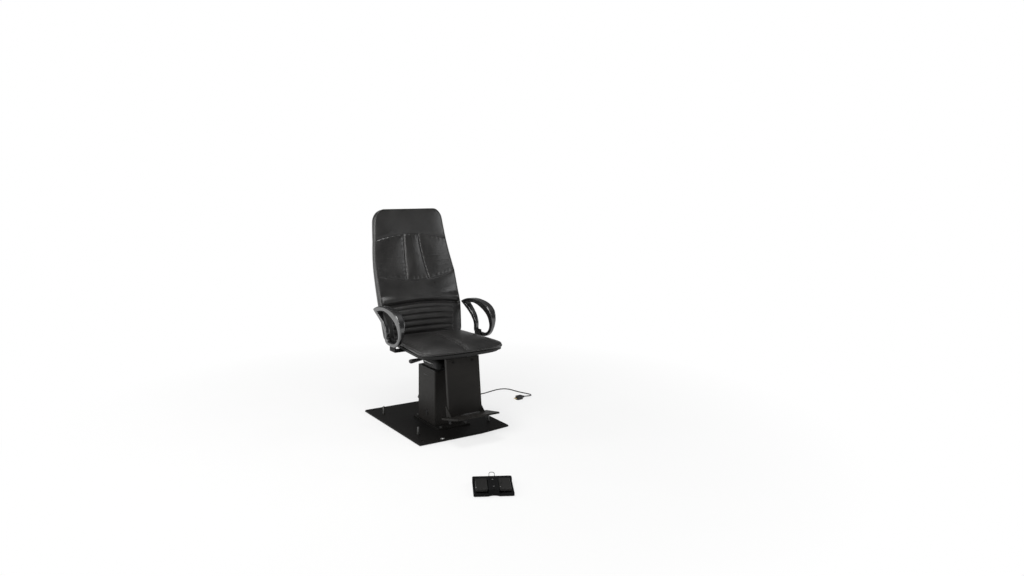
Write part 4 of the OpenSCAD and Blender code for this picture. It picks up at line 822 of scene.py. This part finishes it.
def hold(obj, tags, top, border, side):
    """How firmly each point of a cushion is held: on its top, along its border and down its side."""
    rows, cols = len(tags), len(tags[0])
    held = []
    for i, vertex in enumerate(obj.data.vertices):
        r, c = divmod(i, cols)
        if r >= rows:
            held.append(clamped(side(vertex.co)))
        elif r in (0, rows - 1) or c in (0, cols - 1):
            held.append(border)
        else:
            held.append(top(*tags[r][c]))
    return held


def swell(obj, held, cap, border):
    """Fills a cushion with air between its seams, smooths it, and returns the line of its border.

    Held says how firmly each point is held, and cap how far a point may move.
    """
    group = obj.vertex_groups.new(name="held")
    for i, weight in enumerate(held):
        if weight > 0.01:
            group.add([i], weight, "REPLACE")
    rest = [v.co.copy() for v in obj.data.vertices]
    pick(obj)
    cloth = obj.modifiers.new("Cloth", "CLOTH")
    cloth.settings.quality = 3
    cloth.settings.mass = 0.3
    cloth.settings.bending_stiffness = 0.6
    cloth.settings.use_pressure = True
    cloth.settings.uniform_pressure_force = bpy.context.scene.chair_leather.pressure
    cloth.settings.vertex_group_mass = "held"
    cloth.settings.effector_weights.gravity = 0
    cloth.collision_settings.use_collision = False
    cloth.point_cache.frame_start, cloth.point_cache.frame_end = 1, SWELL_FRAMES
    for step in range(1, SWELL_FRAMES + 1):
        bpy.context.scene.frame_set(step)
    bpy.ops.object.modifier_apply(modifier="Cloth")
    bpy.context.scene.frame_set(1)
    for vertex, start in zip(obj.data.vertices, rest):
        move = vertex.co - start
        if move.length > cap:
            vertex.co = start + move * (cap / move.length)
    obj.vertex_groups.clear()
    line = [obj.data.vertices[i].co.copy() for i in border]
    modify(obj, "SUBSURF", levels=1, render_levels=1)
    return line


def piping(name, points, body, closed=False):
    """Round leather piping along a seam."""
    return wear(run_of(name, points, bpy.context.scene.chair_leather.piping, closed), body,
                "black_leather", finish="piping")


def stitches(name, points, body):
    """Short threads laid in a row along a line."""
    verts, faces = [], []
    for a, b in stitch_places(points, STITCH_PITCH, bpy.context.scene.chair_leather.stitch):
        run = (b - a).normalized()
        side = run.cross(OFF_ROW).normalized() * THREAD_RADIUS
        rise = run.cross(side).normalized() * THREAD_RADIUS
        base = len(verts)
        for place, fat in ((a, 0.35), (a.lerp(b, 0.25), 1), (a.lerp(b, 0.75), 1), (b, 0.35)):
            verts += [tuple(place + side * fat), tuple(place + rise * fat), tuple(place - side * fat),
                      tuple(place - rise * fat)]
        for k in range(3):
            for j in range(4):
                p, q = base + 4 * k + j, base + 4 * k + (j + 1) % 4
                faces.append((p, q, q + 4, p + 4))
        faces += [(base, base + 1, base + 2, base + 3), (base + 12, base + 13, base + 14, base + 15)]
    obj = solid_from(name, verts, faces)
    outwards(obj)
    shade(obj, 50)
    return wear(obj, body, "black_leather", finish="thread")


def stitch_places(points, spacing, length):
    """Start and end of every stitch of a row, evenly spaced along the line."""
    points = [Vector(p) for p in points]
    marks = [0.0]
    for a, b in zip(points, points[1:]):
        marks.append(marks[-1] + (b - a).length)

    def place(run):
        k = min(bisect.bisect(marks, run), len(points) - 1)
        return points[k - 1].lerp(points[k], (run - marks[k - 1]) / (marks[k] - marks[k - 1]))

    count = int((marks[-1] - length) / spacing)
    return [(place(k * spacing), place(k * spacing + length)) for k in range(count + 1)]


def onto(obj, points, way, lift):
    """Drops points onto a piece along a direction and lifts them off it."""
    mesh = obj.data
    surface = BVHTree.FromPolygons([v.co for v in mesh.vertices], [p.vertices[:] for p in mesh.polygons])
    way = Vector(way).normalized()
    found = [surface.ray_cast(Vector(p) - way * DROP_FROM, way)[0] for p in points]
    return [tuple(place - way * lift) for place in found if place]


# Seat, in millimetres, in the level frame of the chair

PAN_TOP = 485.0
SEAT_FRONT_W, SEAT_REAR_W, SEAT_D, SEAT_MID, SEAT_BOW = 540.0, 470.0, 476.0, -52.0, 28.0
SEAT_SIDE_H, SEAT_CROWN, SEAT_DROP, SEAT_PULL, SEAT_BULGE = 38.0, 19.0, 16.0, 6.0, 8.0
SEAT_POWER, SEAT_ROLL, SEAT_VALLEY = 10, 12.0, (15, 17)
SEAT_HALF = SEAT_FRONT_W / 2
# the solid starts this far inside its final skin, with loops down its side and closer rows at the seam
SEAT_SKIN, SEAT_RINGS, SEAM_BAND, SEAT_SWELL = 2, 7, 0.075, 0.013
# gap over the pan, and in metres the band above it where the leather is fastened
PAN_GAP, FASTENED_TO, FASTENED_FADE = 0.2, 0.012, 0.008
# in metres: where the sewing starts above the pan, the middle crease, its puckers and the edge's folds
SEWN_FROM, CREASE, PUCKER, EDGE_FOLD = 0.03, 0.0034, 0.0011, 0.0007
# in metres: how far the piping stands off its seam, and the stitches lie beside it
PIPING_LIFT, STITCH_SIDE = 0.0012, 0.0085


def seat_half(t):
    return between(SEAT_FRONT_W, SEAT_REAR_W, (t + 1) / 2) / 2


def seat_xy(s, t):
    """Place on the seat for a share across and a share along, its corners rounded."""
    m = max(abs(s), abs(t))
    if m > 0:
        f = ((abs(s) / m) ** SEAT_POWER + (abs(t) / m) ** SEAT_POWER) ** (1 / SEAT_POWER)
        s, t = s / f, t / f
    return s * seat_half(t), SEAT_MID + t * SEAT_D / 2 - SEAT_BOW * max(0, -t) ** 3 * (1 - s * s)


def seat_edge(s, t):
    """Height of the side, lower at the front and less so at its corners."""
    return SEAT_SIDE_H - SEAT_DROP * max(0, -t) ** 4 * (1 - 0.6 * s ** 4)


def seat_top(s, t):
    m = max(abs(s), abs(t))
    return PAN_TOP + seat_edge(s, t) + SEAT_CROWN * (1 - m ** 3) - SEAT_ROLL * m ** 7 - \
        dip(s * seat_half(t), SEAT_VALLEY) * (1 - abs(t) ** 6)


def seat_side(s, t, share):
    """Point on the side at a share of its height, under the border's point."""
    x, y = seat_xy(s, t)
    bulge = SEAT_BULGE * math.sin(math.pi * min(1, share * 0.9 + 0.1)) ** 0.7
    pull = SEAT_PULL * (1 - abs(s * t)) * (1 - share) ** 2
    f = (seat_half(0) + bulge - pull - SEAT_SKIN) / seat_half(0)
    rise = (SEAT_SIDE_H - SEAT_SKIN - SEAT_ROLL) * share * seat_edge(s, t) / SEAT_SIDE_H
    return x * f, SEAT_MID + (y - SEAT_MID) * f, PAN_TOP + PAN_GAP + rise


class CHAIR_OT_seat(bpy.types.Operator):
    """Seat cushion in two halves with a piped middle seam and a boxed edge"""
    bl_idname = "chair.seat"
    bl_label = "Seat cushion"

    def execute(self, context):
        step = context.scene.chair_leather.step * 1000
        across = spread([-1, -SEAM_BAND, 0, SEAM_BAND, 1], step / SEAT_HALF)
        down = spread([-1, 1], step / (SEAT_D / 2))
        tags = [[(t, s) for s in across] for t in down]
        grid = [metres([(*seat_xy(s, t), seat_top(s, t) - SEAT_SKIN) for t, s in row]) for row in tags]
        edge = [(across[c], down[r]) for r, c in border_loop(len(down), len(across))]
        rims = [metres([seat_side(s, t, 1 - k / SEAT_RINGS) for s, t in edge])
                for k in range(1, SEAT_RINGS + 1)]
        obj, border = cushion_solid("seat_pad", grid, rims, tags)
        held = hold(obj, tags, lambda t, s: 0.97 * bell(s * SEAT_HALF, 5), 0.5,
                    lambda place: (PAN_TOP / 1000 + FASTENED_TO - place.z) / FASTENED_FADE)
        rim_line = swell(obj, held, SEAT_SWELL, border)
        self.sew(obj)
        shade(obj, 180)
        wear(obj, "seat", "black_leather", ["seat_cushion"])
        self.trim(obj, rim_line)
        return {"FINISHED"}

    def sew(self, obj):
        """Crease of the middle seam with its puckers, and soft folds towards the edges."""
        seam = bpy.context.scene.chair_leather.seam
        for vertex, t, s in tagged_points(obj):
            if vertex.co.z < PAN_TOP / 1000 + SEWN_FROM:
                continue
            x = s * seat_half(t) / 1000
            fade = 1 - abs(t) ** 8
            pucker = ripple(t * 46, 2.0, t * 11) * bell(abs(x) - 0.012, 0.011) * PUCKER
            vertex.co.z += (-CREASE * bell(x, seam) + pucker) * fade
            rim = max(abs(s), abs(t))
            fold = ripple(math.atan2(t, s) * 38, 3, s * 7) * bell(rim - 0.93, 0.045)
            vertex.co.z += fold * EDGE_FOLD

    def trim(self, obj, rim_line):
        """Piping around the seat and along its middle, with a row of stitches on either side."""
        raised = []
        for p in rim_line:
            away = Vector((p.x, p.y - SEAT_MID / 1000, 0)).normalized()
            raised.append(tuple(p + away * PIPING_LIFT))
        piping("seat_piping", raised, "seat", closed=True)
        middle = onto(obj, [(0, y / 1000, 0.6) for y in range(-296, 178, 6)], DOWN, 0.0)
        piping("seat_middle_piping", [(x, y, z + PIPING_LIFT) for x, y, z in middle], "seat")
        for side, name in SIDES:
            line = [(side * STITCH_SIDE, y / 1000, 0.6) for y in range(-286, 170, 5)]
            stitches("seat_stitches_" + name, onto(obj, line, DOWN, THREAD_LIFT), "seat")


# Back, in millimetres, in its own upright frame with the recline hinge at the origin

LEAN = math.radians(19.2)
HINGE = (0, 0.175, 0.450)
BACK_PLACE = Matrix.Translation(HINGE) @ Matrix.Rotation(-LEAN, 4, "X")
BOTTOM, FOLD, SMILE, ARCH, TOP = 48.0, 258.0, 399.0, 704.0, 857.0
PLEATS = (221.0, 184.0, 147.0, 110.0, 73.0)
LOW_W, TOP_W, BELLY, CORNER, LOW_CORNER, BOLSTER = 536.0, 446.0, 14.0, 52.0, 34.0, 54.0
FACE, REAR = -9.0, 57.0
# how far the ends of the rows lie above their middle, from height to height
SAGS = ((ARCH, TOP, -44, 0), (SMILE, ARCH, 50, -44), (FOLD, SMILE, -20, 50), (BOTTOM, FOLD, 0, -20))
# half the width of the middle panel at its top and its foot, and that of the leather beside it
CHANNEL, WING = (51.0, 77.0), 120
# how far the front comes forward at the head and the lumbar roll, or falls back elsewhere
HEAD_LEAN, HOLLOW, LUMBAR, LOW_FALL, BACK_CROWN = 24, 14, 10, 30, 12
# depth and half width of the valleys and of the roll above the fold
FOLD_DIP, SEAM_DIP, CHANNEL_DIP, PLEAT_DIP, ROLL = (20, 12.8), (3, 6), (5, 6), (7, 6), (10, 16)
ROLL_RISE = 24
# depth and half width of the sewn lines in them
FOLD_SEAM, CROSS_SEAM, CHANNEL_SEAM, ROW_SEAM = (5.0, 5), (4.2, 3.2), (5.2, 3.6), (0.4, 3.2)
BOLSTER_SEAM, PLEAT_SEAM = (3.2, 3.6), (4.2, 3)
# pitch of the short level rows beside the middle panel, and how they end short of both seams
ROW_PITCH, ROW_START, ROW_STOP, ROW_FADE = 38.1, 10, 7, 8
PANEL_PUFF = 3.0
# the solid starts this far inside its final skin, with loops down its side that bulge and draw in
BACK_SKIN, BACK_RINGS, BACK_BULGE, BACK_DRAW = 5, 9, 8.0, 7
# the seams fade out this near to the border, and reach this far in metres behind the front
BORDER_FADE, FRONT_BAND = 12, 0.018
# rows of stitches: distance from their seam, start in front of the leather, and share of the width
SEAM_GAP, OFF_FRONT, ROW_REACH = 7, -60, 0.93
BESIDE_PANEL = range(int(SMILE) + 14, int(ARCH) - 12, 4)


def back_half(v):
    """Half the back's width at a height, with the round corners."""
    if v < FOLD:
        w = between(0.96, 1, (v - BOTTOM) / (FOLD - BOTTOM)) * LOW_W / 2
    else:
        share = (v - FOLD) / (TOP - FOLD)
        w = between(LOW_W, TOP_W, share) / 2 + BELLY * 4 * share * (1 - share)
    for past, corner in ((v - (TOP - CORNER), CORNER), (BOTTOM + LOW_CORNER - v, LOW_CORNER)):
        if past > 0:
            w -= corner - math.sqrt(max(0, corner ** 2 - past * past))
    return w


def back_sag(v):
    """How far the ends of a level row lie above its middle."""
    for low, high, a, b in SAGS:
        if v >= low:
            return between(a, b, (v - low) / (high - low))
    return 0


def channel_x(v):
    """Half the distance between the two upright seams of the middle panel."""
    return between(*CHANNEL, clamped((ARCH - v) / (ARCH - SMILE)) ** 1.5)


def back_depth(x, v):
    """Depth of the front's broad form, less where it stands further forward."""
    m = max(abs(x) / max(back_half(v), 1), abs(2 * v - TOP - BOTTOM) / (TOP - BOTTOM))
    upper = max(0, v - SMILE) / (TOP - SMILE)
    y = FACE - HEAD_LEAN * upper ** 3 + HOLLOW * 4 * upper * (1 - upper) \
        - LUMBAR * clamped((SMILE - v) / (SMILE - FOLD)) ** 1.5 \
        + LOW_FALL * (max(0, FOLD - v) / (FOLD - BOTTOM)) ** 1.3 - BACK_CROWN * (1 - m ** 4)
    if m < 1:
        y += dip(v - FOLD, FOLD_DIP) + dip(v - SMILE, SEAM_DIP) + dip(v - ARCH, SEAM_DIP) \
            - dip(v - FOLD - ROLL_RISE, ROLL)
        if SMILE < v < ARCH:
            y += dip(abs(x) - channel_x(v), CHANNEL_DIP)
        if abs(x) < back_half(v) - BOLSTER:
            y += sum(dip(v - p, PLEAT_DIP) for p in PLEATS)
    return y


def back_seams(x, v):
    """Depth of the sewn lines at a point of the front, in millimetres."""
    half, c = back_half(v), channel_x(v)
    inside = half - BOLSTER
    deep = dip(v - FOLD, FOLD_SEAM) + dip(v - SMILE, CROSS_SEAM) + dip(v - ARCH, CROSS_SEAM)
    if SMILE < v < ARCH:
        deep += dip(abs(x) - c, CHANNEL_SEAM)
        deep -= PANEL_PUFF * max(0, 1 - abs(x) / c) ** 0.5 if abs(x) < c else 0
        if c + ROW_START < abs(x) < half - ROW_STOP:
            ends = min(1, (abs(x) - c - ROW_START) / ROW_FADE, (half - ROW_STOP - abs(x)) / ROW_FADE)
            pitch = (v - SMILE) % ROW_PITCH
            deep += dip(min(pitch, ROW_PITCH - pitch), ROW_SEAM) * ends
    if v < FOLD:
        deep += dip(abs(x) - inside, BOLSTER_SEAM)
        if abs(x) < inside:
            deep += sum(dip(v - p, PLEAT_SEAM) for p in PLEATS)
    return deep


def back_folds(x, v):
    """Soft puckers and creases that the sewing pulls into the leather, in millimetres."""
    side = abs(x) / max(back_half(v), 1)
    y = 0.9 * ripple(x / 5.6, 1.9, x / 31) * (bell(v - ARCH + 14, 13) + bell(v - SMILE - 13, 12))
    if SMILE < v < ARCH:
        y += 0.7 * ripple(v / 5.2, 2, v / 37) * bell(abs(x) - channel_x(v) - 9, 9)
    if FOLD < v < SMILE:
        pinch = max(0, side - 0.35)
        y += 3.4 * pinch * math.sin((v - FOLD) / 8.5 - side * 5) * bell(v - FOLD - 44, 34)
        y -= 4.5 * pinch * bell(v - FOLD - 15, 9)
        y += 1.1 * ripple(x / 21, 2.2, v / 26) * bell(v - FOLD - 20, 26)
    if v < FOLD:
        y += 1.3 * ripple(x / 12.5, 1.6, v / 9) * max(0, side - 0.3) * (side < 0.8)
    if v > ARCH:
        y += 0.7 * math.sin(x / 40 + v / 33)
    return y


class CHAIR_OT_back(bpy.types.Operator):
    """Back cushion with its head panel, channels, lumbar roll, pleats and side bolsters"""
    bl_idname = "chair.back"
    bl_label = "Back cushion"

    def rows(self, step):
        """Heights of the grid's rows, which meet every seam and follow the round corners."""
        corner = [TOP - CORNER + CORNER * math.sin(math.radians(a)) for a in range(0, 91, 10)]
        low = [BOTTOM + LOW_CORNER * (1 - math.cos(math.radians(a))) for a in range(0, 91, 15)]
        main = spread([low[-1], *PLEATS[3::-1], FOLD, SMILE, ARCH, corner[0]], step)
        return low[:-1] + main + corner[1:]

    def cols(self, v, counts):
        """Places across one row, as many on every row, with one on each upright seam."""
        half, c = back_half(v), channel_x(v)
        marks = [0, c, half - BOLSTER, half]
        right = [0.0]
        for a, b, n in zip(marks, marks[1:], counts):
            right += [between(a, b, k / n) for k in range(1, n + 1)]
        return [-x for x in right[:0:-1]] + right

    def point(self, x, v, inset):
        u = x / (LOW_W / 2)
        return (x, back_depth(x, v) + inset, v + back_sag(v) * u * u)

    def rim(self, front, share):
        """Loop around the side at a share of its depth."""
        middle = (TOP + BOTTOM) / 2
        grow = BACK_BULGE * math.sin(math.pi * share ** 0.85) ** 0.75 - BACK_DRAW * share ** 3
        fx, fz = 1 + 2 * grow / LOW_W, 1 + 2 * grow / (TOP - BOTTOM)
        return metres([(x * fx, between(y, REAR, share), middle + (z - middle) * fz) for x, y, z in front])

    def execute(self, context):
        look = context.scene.chair_leather
        step = look.step * 1000
        counts = [round(width / step) for width in (sum(CHANNEL) / 2, WING, BOLSTER)]
        tags = [[(v, x) for x in self.cols(v, counts)] for v in self.rows(step)]
        grid = [[self.point(x, v, BACK_SKIN) for v, x in row] for row in tags]
        front = [grid[r][c] for r, c in border_loop(len(grid), len(grid[0]))]
        rims = [self.rim(front, k / BACK_RINGS) for k in range(1, BACK_RINGS + 1)]
        obj, border = cushion_solid("back_pad", [metres(row) for row in grid], rims, tags)
        held = hold(obj, tags, lambda v, x: min(0.98, back_seams(x, v) / 3.4), 0.8,
                    lambda place: (place.y - 0.040) / 0.010)
        rim_line = [BACK_PLACE @ p for p in swell(obj, held, look.swell * 0.75, border)]
        for vertex, v, x in tagged_points(obj):
            inward = clamped((back_half(v) - abs(x)) / BORDER_FADE)
            if vertex.co.y < back_depth(x, v) / 1000 + FRONT_BAND:
                vertex.co.y += inward * (back_seams(x, v) + back_folds(x, v)) / 1000
        obj.matrix_world = BACK_PLACE
        settle(obj)
        shade(obj, 180)
        wear(obj, "back", "black_leather", ["back_cushion"])
        self.trim(obj, rim_line)
        return {"FINISHED"}

    def trim(self, obj, rim_line):
        """Piping around the front, and rows of stitches beside its seams."""
        out = BACK_PLACE.to_3x3() @ Vector((0, -1, 0))
        middle = BACK_PLACE @ Vector((0, 0, (TOP + BOTTOM) / 2000))
        raised = []
        for p in rim_line:
            away = p - middle
            away -= out * away.dot(out)
            raised.append(tuple(p + away.normalized() * 0.0015 + out * 0.0008))
        piping("back_piping", raised, "back", closed=True)
        rows = []
        for name, v, gap in (("arch", ARCH, SEAM_GAP), ("smile", SMILE, -SEAM_GAP)):
            xs = [k / 80 * ROW_REACH * back_half(v) for k in range(-80, 81)]
            rows.append((name, [self.point(x, v + gap, OFF_FRONT) for x in xs]))
        for side, name in SIDES:
            for kind, gap in (("channel_", -SEAM_GAP), ("channel_outer_", SEAM_GAP)):
                rows.append((kind + name, [self.point(side * (channel_x(v) + gap), v, OFF_FRONT)
                                           for v in BESIDE_PANEL]))
        for name, line in rows:
            points = [tuple(BACK_PLACE @ Vector(p)) for p in metres(line)]
            stitches("back_stitches_" + name, onto(obj, points, -out, THREAD_LIFT), "back")


# Frame parts

# edges wider than this are rounded with one step more
WIDE_EDGE = 0.0015
# where the small screws of the two pedals stand
PEDAL_SCREWS = (("pedal_left", -0.3695, -1.0335), ("pedal_right", -0.2705, -1.088))


def corners(node):
    """Lowest and highest corner of a CAD node as vectors."""
    low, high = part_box(node)
    return Vector(low), Vector(high)


def block(name, low, high, edge):
    """Box between two corners with broken edges."""
    low, high = Vector(low), Vector(high)
    bpy.ops.mesh.primitive_cube_add(size=1, location=(low + high) / 2)
    obj = bpy.context.object
    obj.name = name
    obj.scale = high - low
    settle(obj)
    soften(obj, edge)
    shade(obj, 40)
    return obj


def aimed(name, axis):
    """The primitive that was just added, named and turned along a direction."""
    obj = bpy.context.object
    obj.name = name
    obj.rotation_euler = Vector(axis).to_track_quat("Z", "Y").to_euler()
    settle(obj)
    return obj


def disc(name, middle, axis, radius, height, edge=0.0005, sides=40):
    """Round button with broken edges, its axis along a direction."""
    bpy.ops.mesh.primitive_cylinder_add(vertices=sides, radius=radius, depth=height, location=middle)
    obj = aimed(name, axis)
    soften(obj, edge, 3, 50)
    shade(obj, 40)
    return obj


def ring(name, middle, axis, radius, thickness):
    """Round ring about a direction."""
    bpy.ops.mesh.primitive_torus_add(major_radius=radius, minor_radius=thickness, major_segments=48,
                                     minor_segments=12, location=middle)
    obj = aimed(name, axis)
    shade(obj, 60)
    return obj


def dress_all(edges):
    """Each named node with its own width of edge."""
    for node, width in edges.items():
        dress(node, width, 3 if width > WIDE_EDGE else 2)


class CHAIR_OT_column(bpy.types.Operator):
    """Base plate, column and lift head, with the ring in the column's side and a thin black strip of
    painted shade for the slot in it
    """
    bl_idname = "chair.column"
    bl_label = "Base and column"

    def execute(self, context):
        edge = context.scene.chair_paint.edge
        dress_all({"base_plate": edge * 1.2, "column_foot": edge * 1.8, "column_housing": edge * 2.2,
                   "column_cap": edge * 1.4, "slider_column": edge * 1.4, "control_box": edge,
                   "cord_gland": edge * 0.5, "earth_cap": edge * 0.4})
        dress("column_plug", 0.0008, 3)
        low, high = corners("column_plug")
        middle = (low + high) / 2
        side = corners("column_housing")[0].x
        rim = ring("column_plug_ring", (side - 0.0005, middle.y, middle.z), (1, 0, 0),
                   (high.z - low.z) / 2 + 0.003, 0.0013)
        wear(rim, "base", "column_paint")
        # painted shade: the slot is not cut into the column; a thin strip of black plastic on its side
        # stands for the shade inside it
        slot = block("column_slot_mark", (side - 0.0006, -0.032, 0.303), (side + 0.0004, 0.03, 0.3058),
                     0.0003)
        wear(slot, "base", "black_plastic")
        self.lift_head()
        return {"FINISHED"}

    def lift_head(self):
        """The head as a smooth casting, with a bright strip along its left side."""
        rounded("lift_head", 0.0036, 6, "lift_head_casting")
        low, high = corners("lift_head")
        height = high.z - 0.033
        points = [(low.x - 0.0008, y, height) for y in spread([-0.104, 0.0], 0.008)]
        wear(run_of("lift_head_strip", points, 0.0022), "lift", "bright_metal")


class CHAIR_OT_mechanism(bpy.types.Operator):
    """Seat mechanism, seat pan, brackets and the lock lever with its grip"""
    bl_idname = "chair.mechanism"
    bl_label = "Seat mechanism"

    def execute(self, context):
        edge = context.scene.chair_paint.edge
        moulded = context.scene.chair_paint.moulded_edge
        dress_all({"seat_mechanism": edge, "arm_brackets": edge, "back_bracket": edge,
                   "lock_lever": edge * 0.6, "seat_pan": moulded * 1.5})
        rounded("lever_grip", 0.0016, 6)
        shell = merged_copy("back_shell", "back_shell_moulded")
        soften(shell, moulded * 1.6, 3, 40)
        shade(shell, 40)
        wear(shell, "back", "pan_plastic", ["back_shell"])
        return {"FINISHED"}


class CHAIR_OT_arms(bpy.types.Operator):
    """Arms as smooth moulded loops"""
    bl_idname = "chair.arms"
    bl_label = "Arms"

    def execute(self, context):
        for node in ("arm_left", "arm_right"):
            rounded(node, 0.0026, 14, edge=0.0085)
        return {"FINISHED"}


class CHAIR_OT_footrest(bpy.types.Operator):
    """Footrest panel and tread, with a screw in the panel's side near its foot"""
    bl_idname = "chair.footrest"
    bl_label = "Footrest"

    def execute(self, context):
        edge = context.scene.chair_paint.edge
        dress_all({"rest_panel": edge * 1.5, "rest_tread": edge * 1.2, "rest_hangers": edge,
                   "rest_stops": edge * 1.2})
        side = corners("rest_panel")[0].x
        screw = disc("footrest_side_screw", (side - 0.0012, -0.2845, 0.147), (1, 0, 0), 0.0042, 0.003)
        wear(screw, "seat", "bright_metal")
        return {"FINISHED"}


class CHAIR_OT_switch(bpy.types.Operator):
    """Foot switch: casting, bridge, and two pedals, each with a small screw at its front corner"""
    bl_idname = "chair.switch"
    bl_label = "Foot switch"

    def execute(self, context):
        edge = context.scene.chair_paint.edge
        dress_all({"switch_base": edge * 1.4, "switch_top": edge * 0.9, "switch_feet": edge * 0.5})
        for node, x, y in PEDAL_SCREWS:
            pedal = dress(node, edge)
            for place in onto(pedal, [(x, y, 0.1)], DOWN, -0.0001):
                screw = disc(node + "_screw", place, (0, 0, 1), 0.0024, 0.0014, 0.0003, 20)
                wear(screw, BODY_OF[node], "bright_metal")
        return {"FINISHED"}


class CHAIR_OT_fasteners(bpy.types.Operator):
    """Bolts, nuts, screws and pins with broken edges"""
    bl_idname = "chair.fasteners"
    bl_label = "Fasteners"

    def execute(self, context):
        fine = context.scene.chair_paint.edge * 0.4
        for node in ("levelling_screws", "levelling_nuts", "foot_bolts", "seat_bolts", "arm_bolts",
                     "rest_bolts", "back_bolts", "switch_screws", "lever_pin", "recline_pin", "rod_pin"):
            dress(node, fine)
        return {"FINISHED"}


# Panel and run

GROUPS = {"chair_leather": ChairLeather, "chair_paint": ChairPaint, "chair_cord": ChairCord,
          "chair_stage": ChairStage}
STEPS = (CHAIR_OT_camera, CHAIR_OT_finishes, CHAIR_OT_plug, CHAIR_OT_cord, CHAIR_OT_seat, CHAIR_OT_back,
         CHAIR_OT_column, CHAIR_OT_mechanism, CHAIR_OT_arms, CHAIR_OT_footrest, CHAIR_OT_switch,
         CHAIR_OT_fasteners, CHAIR_OT_stage)


class CHAIR_PT_dressing(bpy.types.Panel):
    """Steps that dress the chair, and the sizes and colours that they use"""
    bl_idname = "CHAIR_PT_dressing"
    bl_label = "Examination Chair"
    bl_space_type = "VIEW_3D"
    bl_region_type = "UI"
    bl_category = "Chair"

    def draw(self, context):
        column = self.layout.column(align=True)
        for step in STEPS:
            column.operator(step.bl_idname)
        for key, kind in GROUPS.items():
            box = self.layout.box()
            for name in kind.__annotations__:
                box.prop(getattr(context.scene, key), name)


def register():
    for each in (*GROUPS.values(), *STEPS, CHAIR_PT_dressing):
        bpy.utils.register_class(each)
    for key, kind in GROUPS.items():
        setattr(bpy.types.Scene, key, PointerProperty(type=kind))


def unregister():
    for key in GROUPS:
        delattr(bpy.types.Scene, key)
    for each in reversed((*GROUPS.values(), *STEPS, CHAIR_PT_dressing)):
        bpy.utils.unregister_class(each)


def main():
    register()
    put_down()
    for step in STEPS:
        getattr(bpy.ops.chair, step.bl_idname.split(".")[1])()
    put_down()
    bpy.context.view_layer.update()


if __name__ == "__main__":
    main()
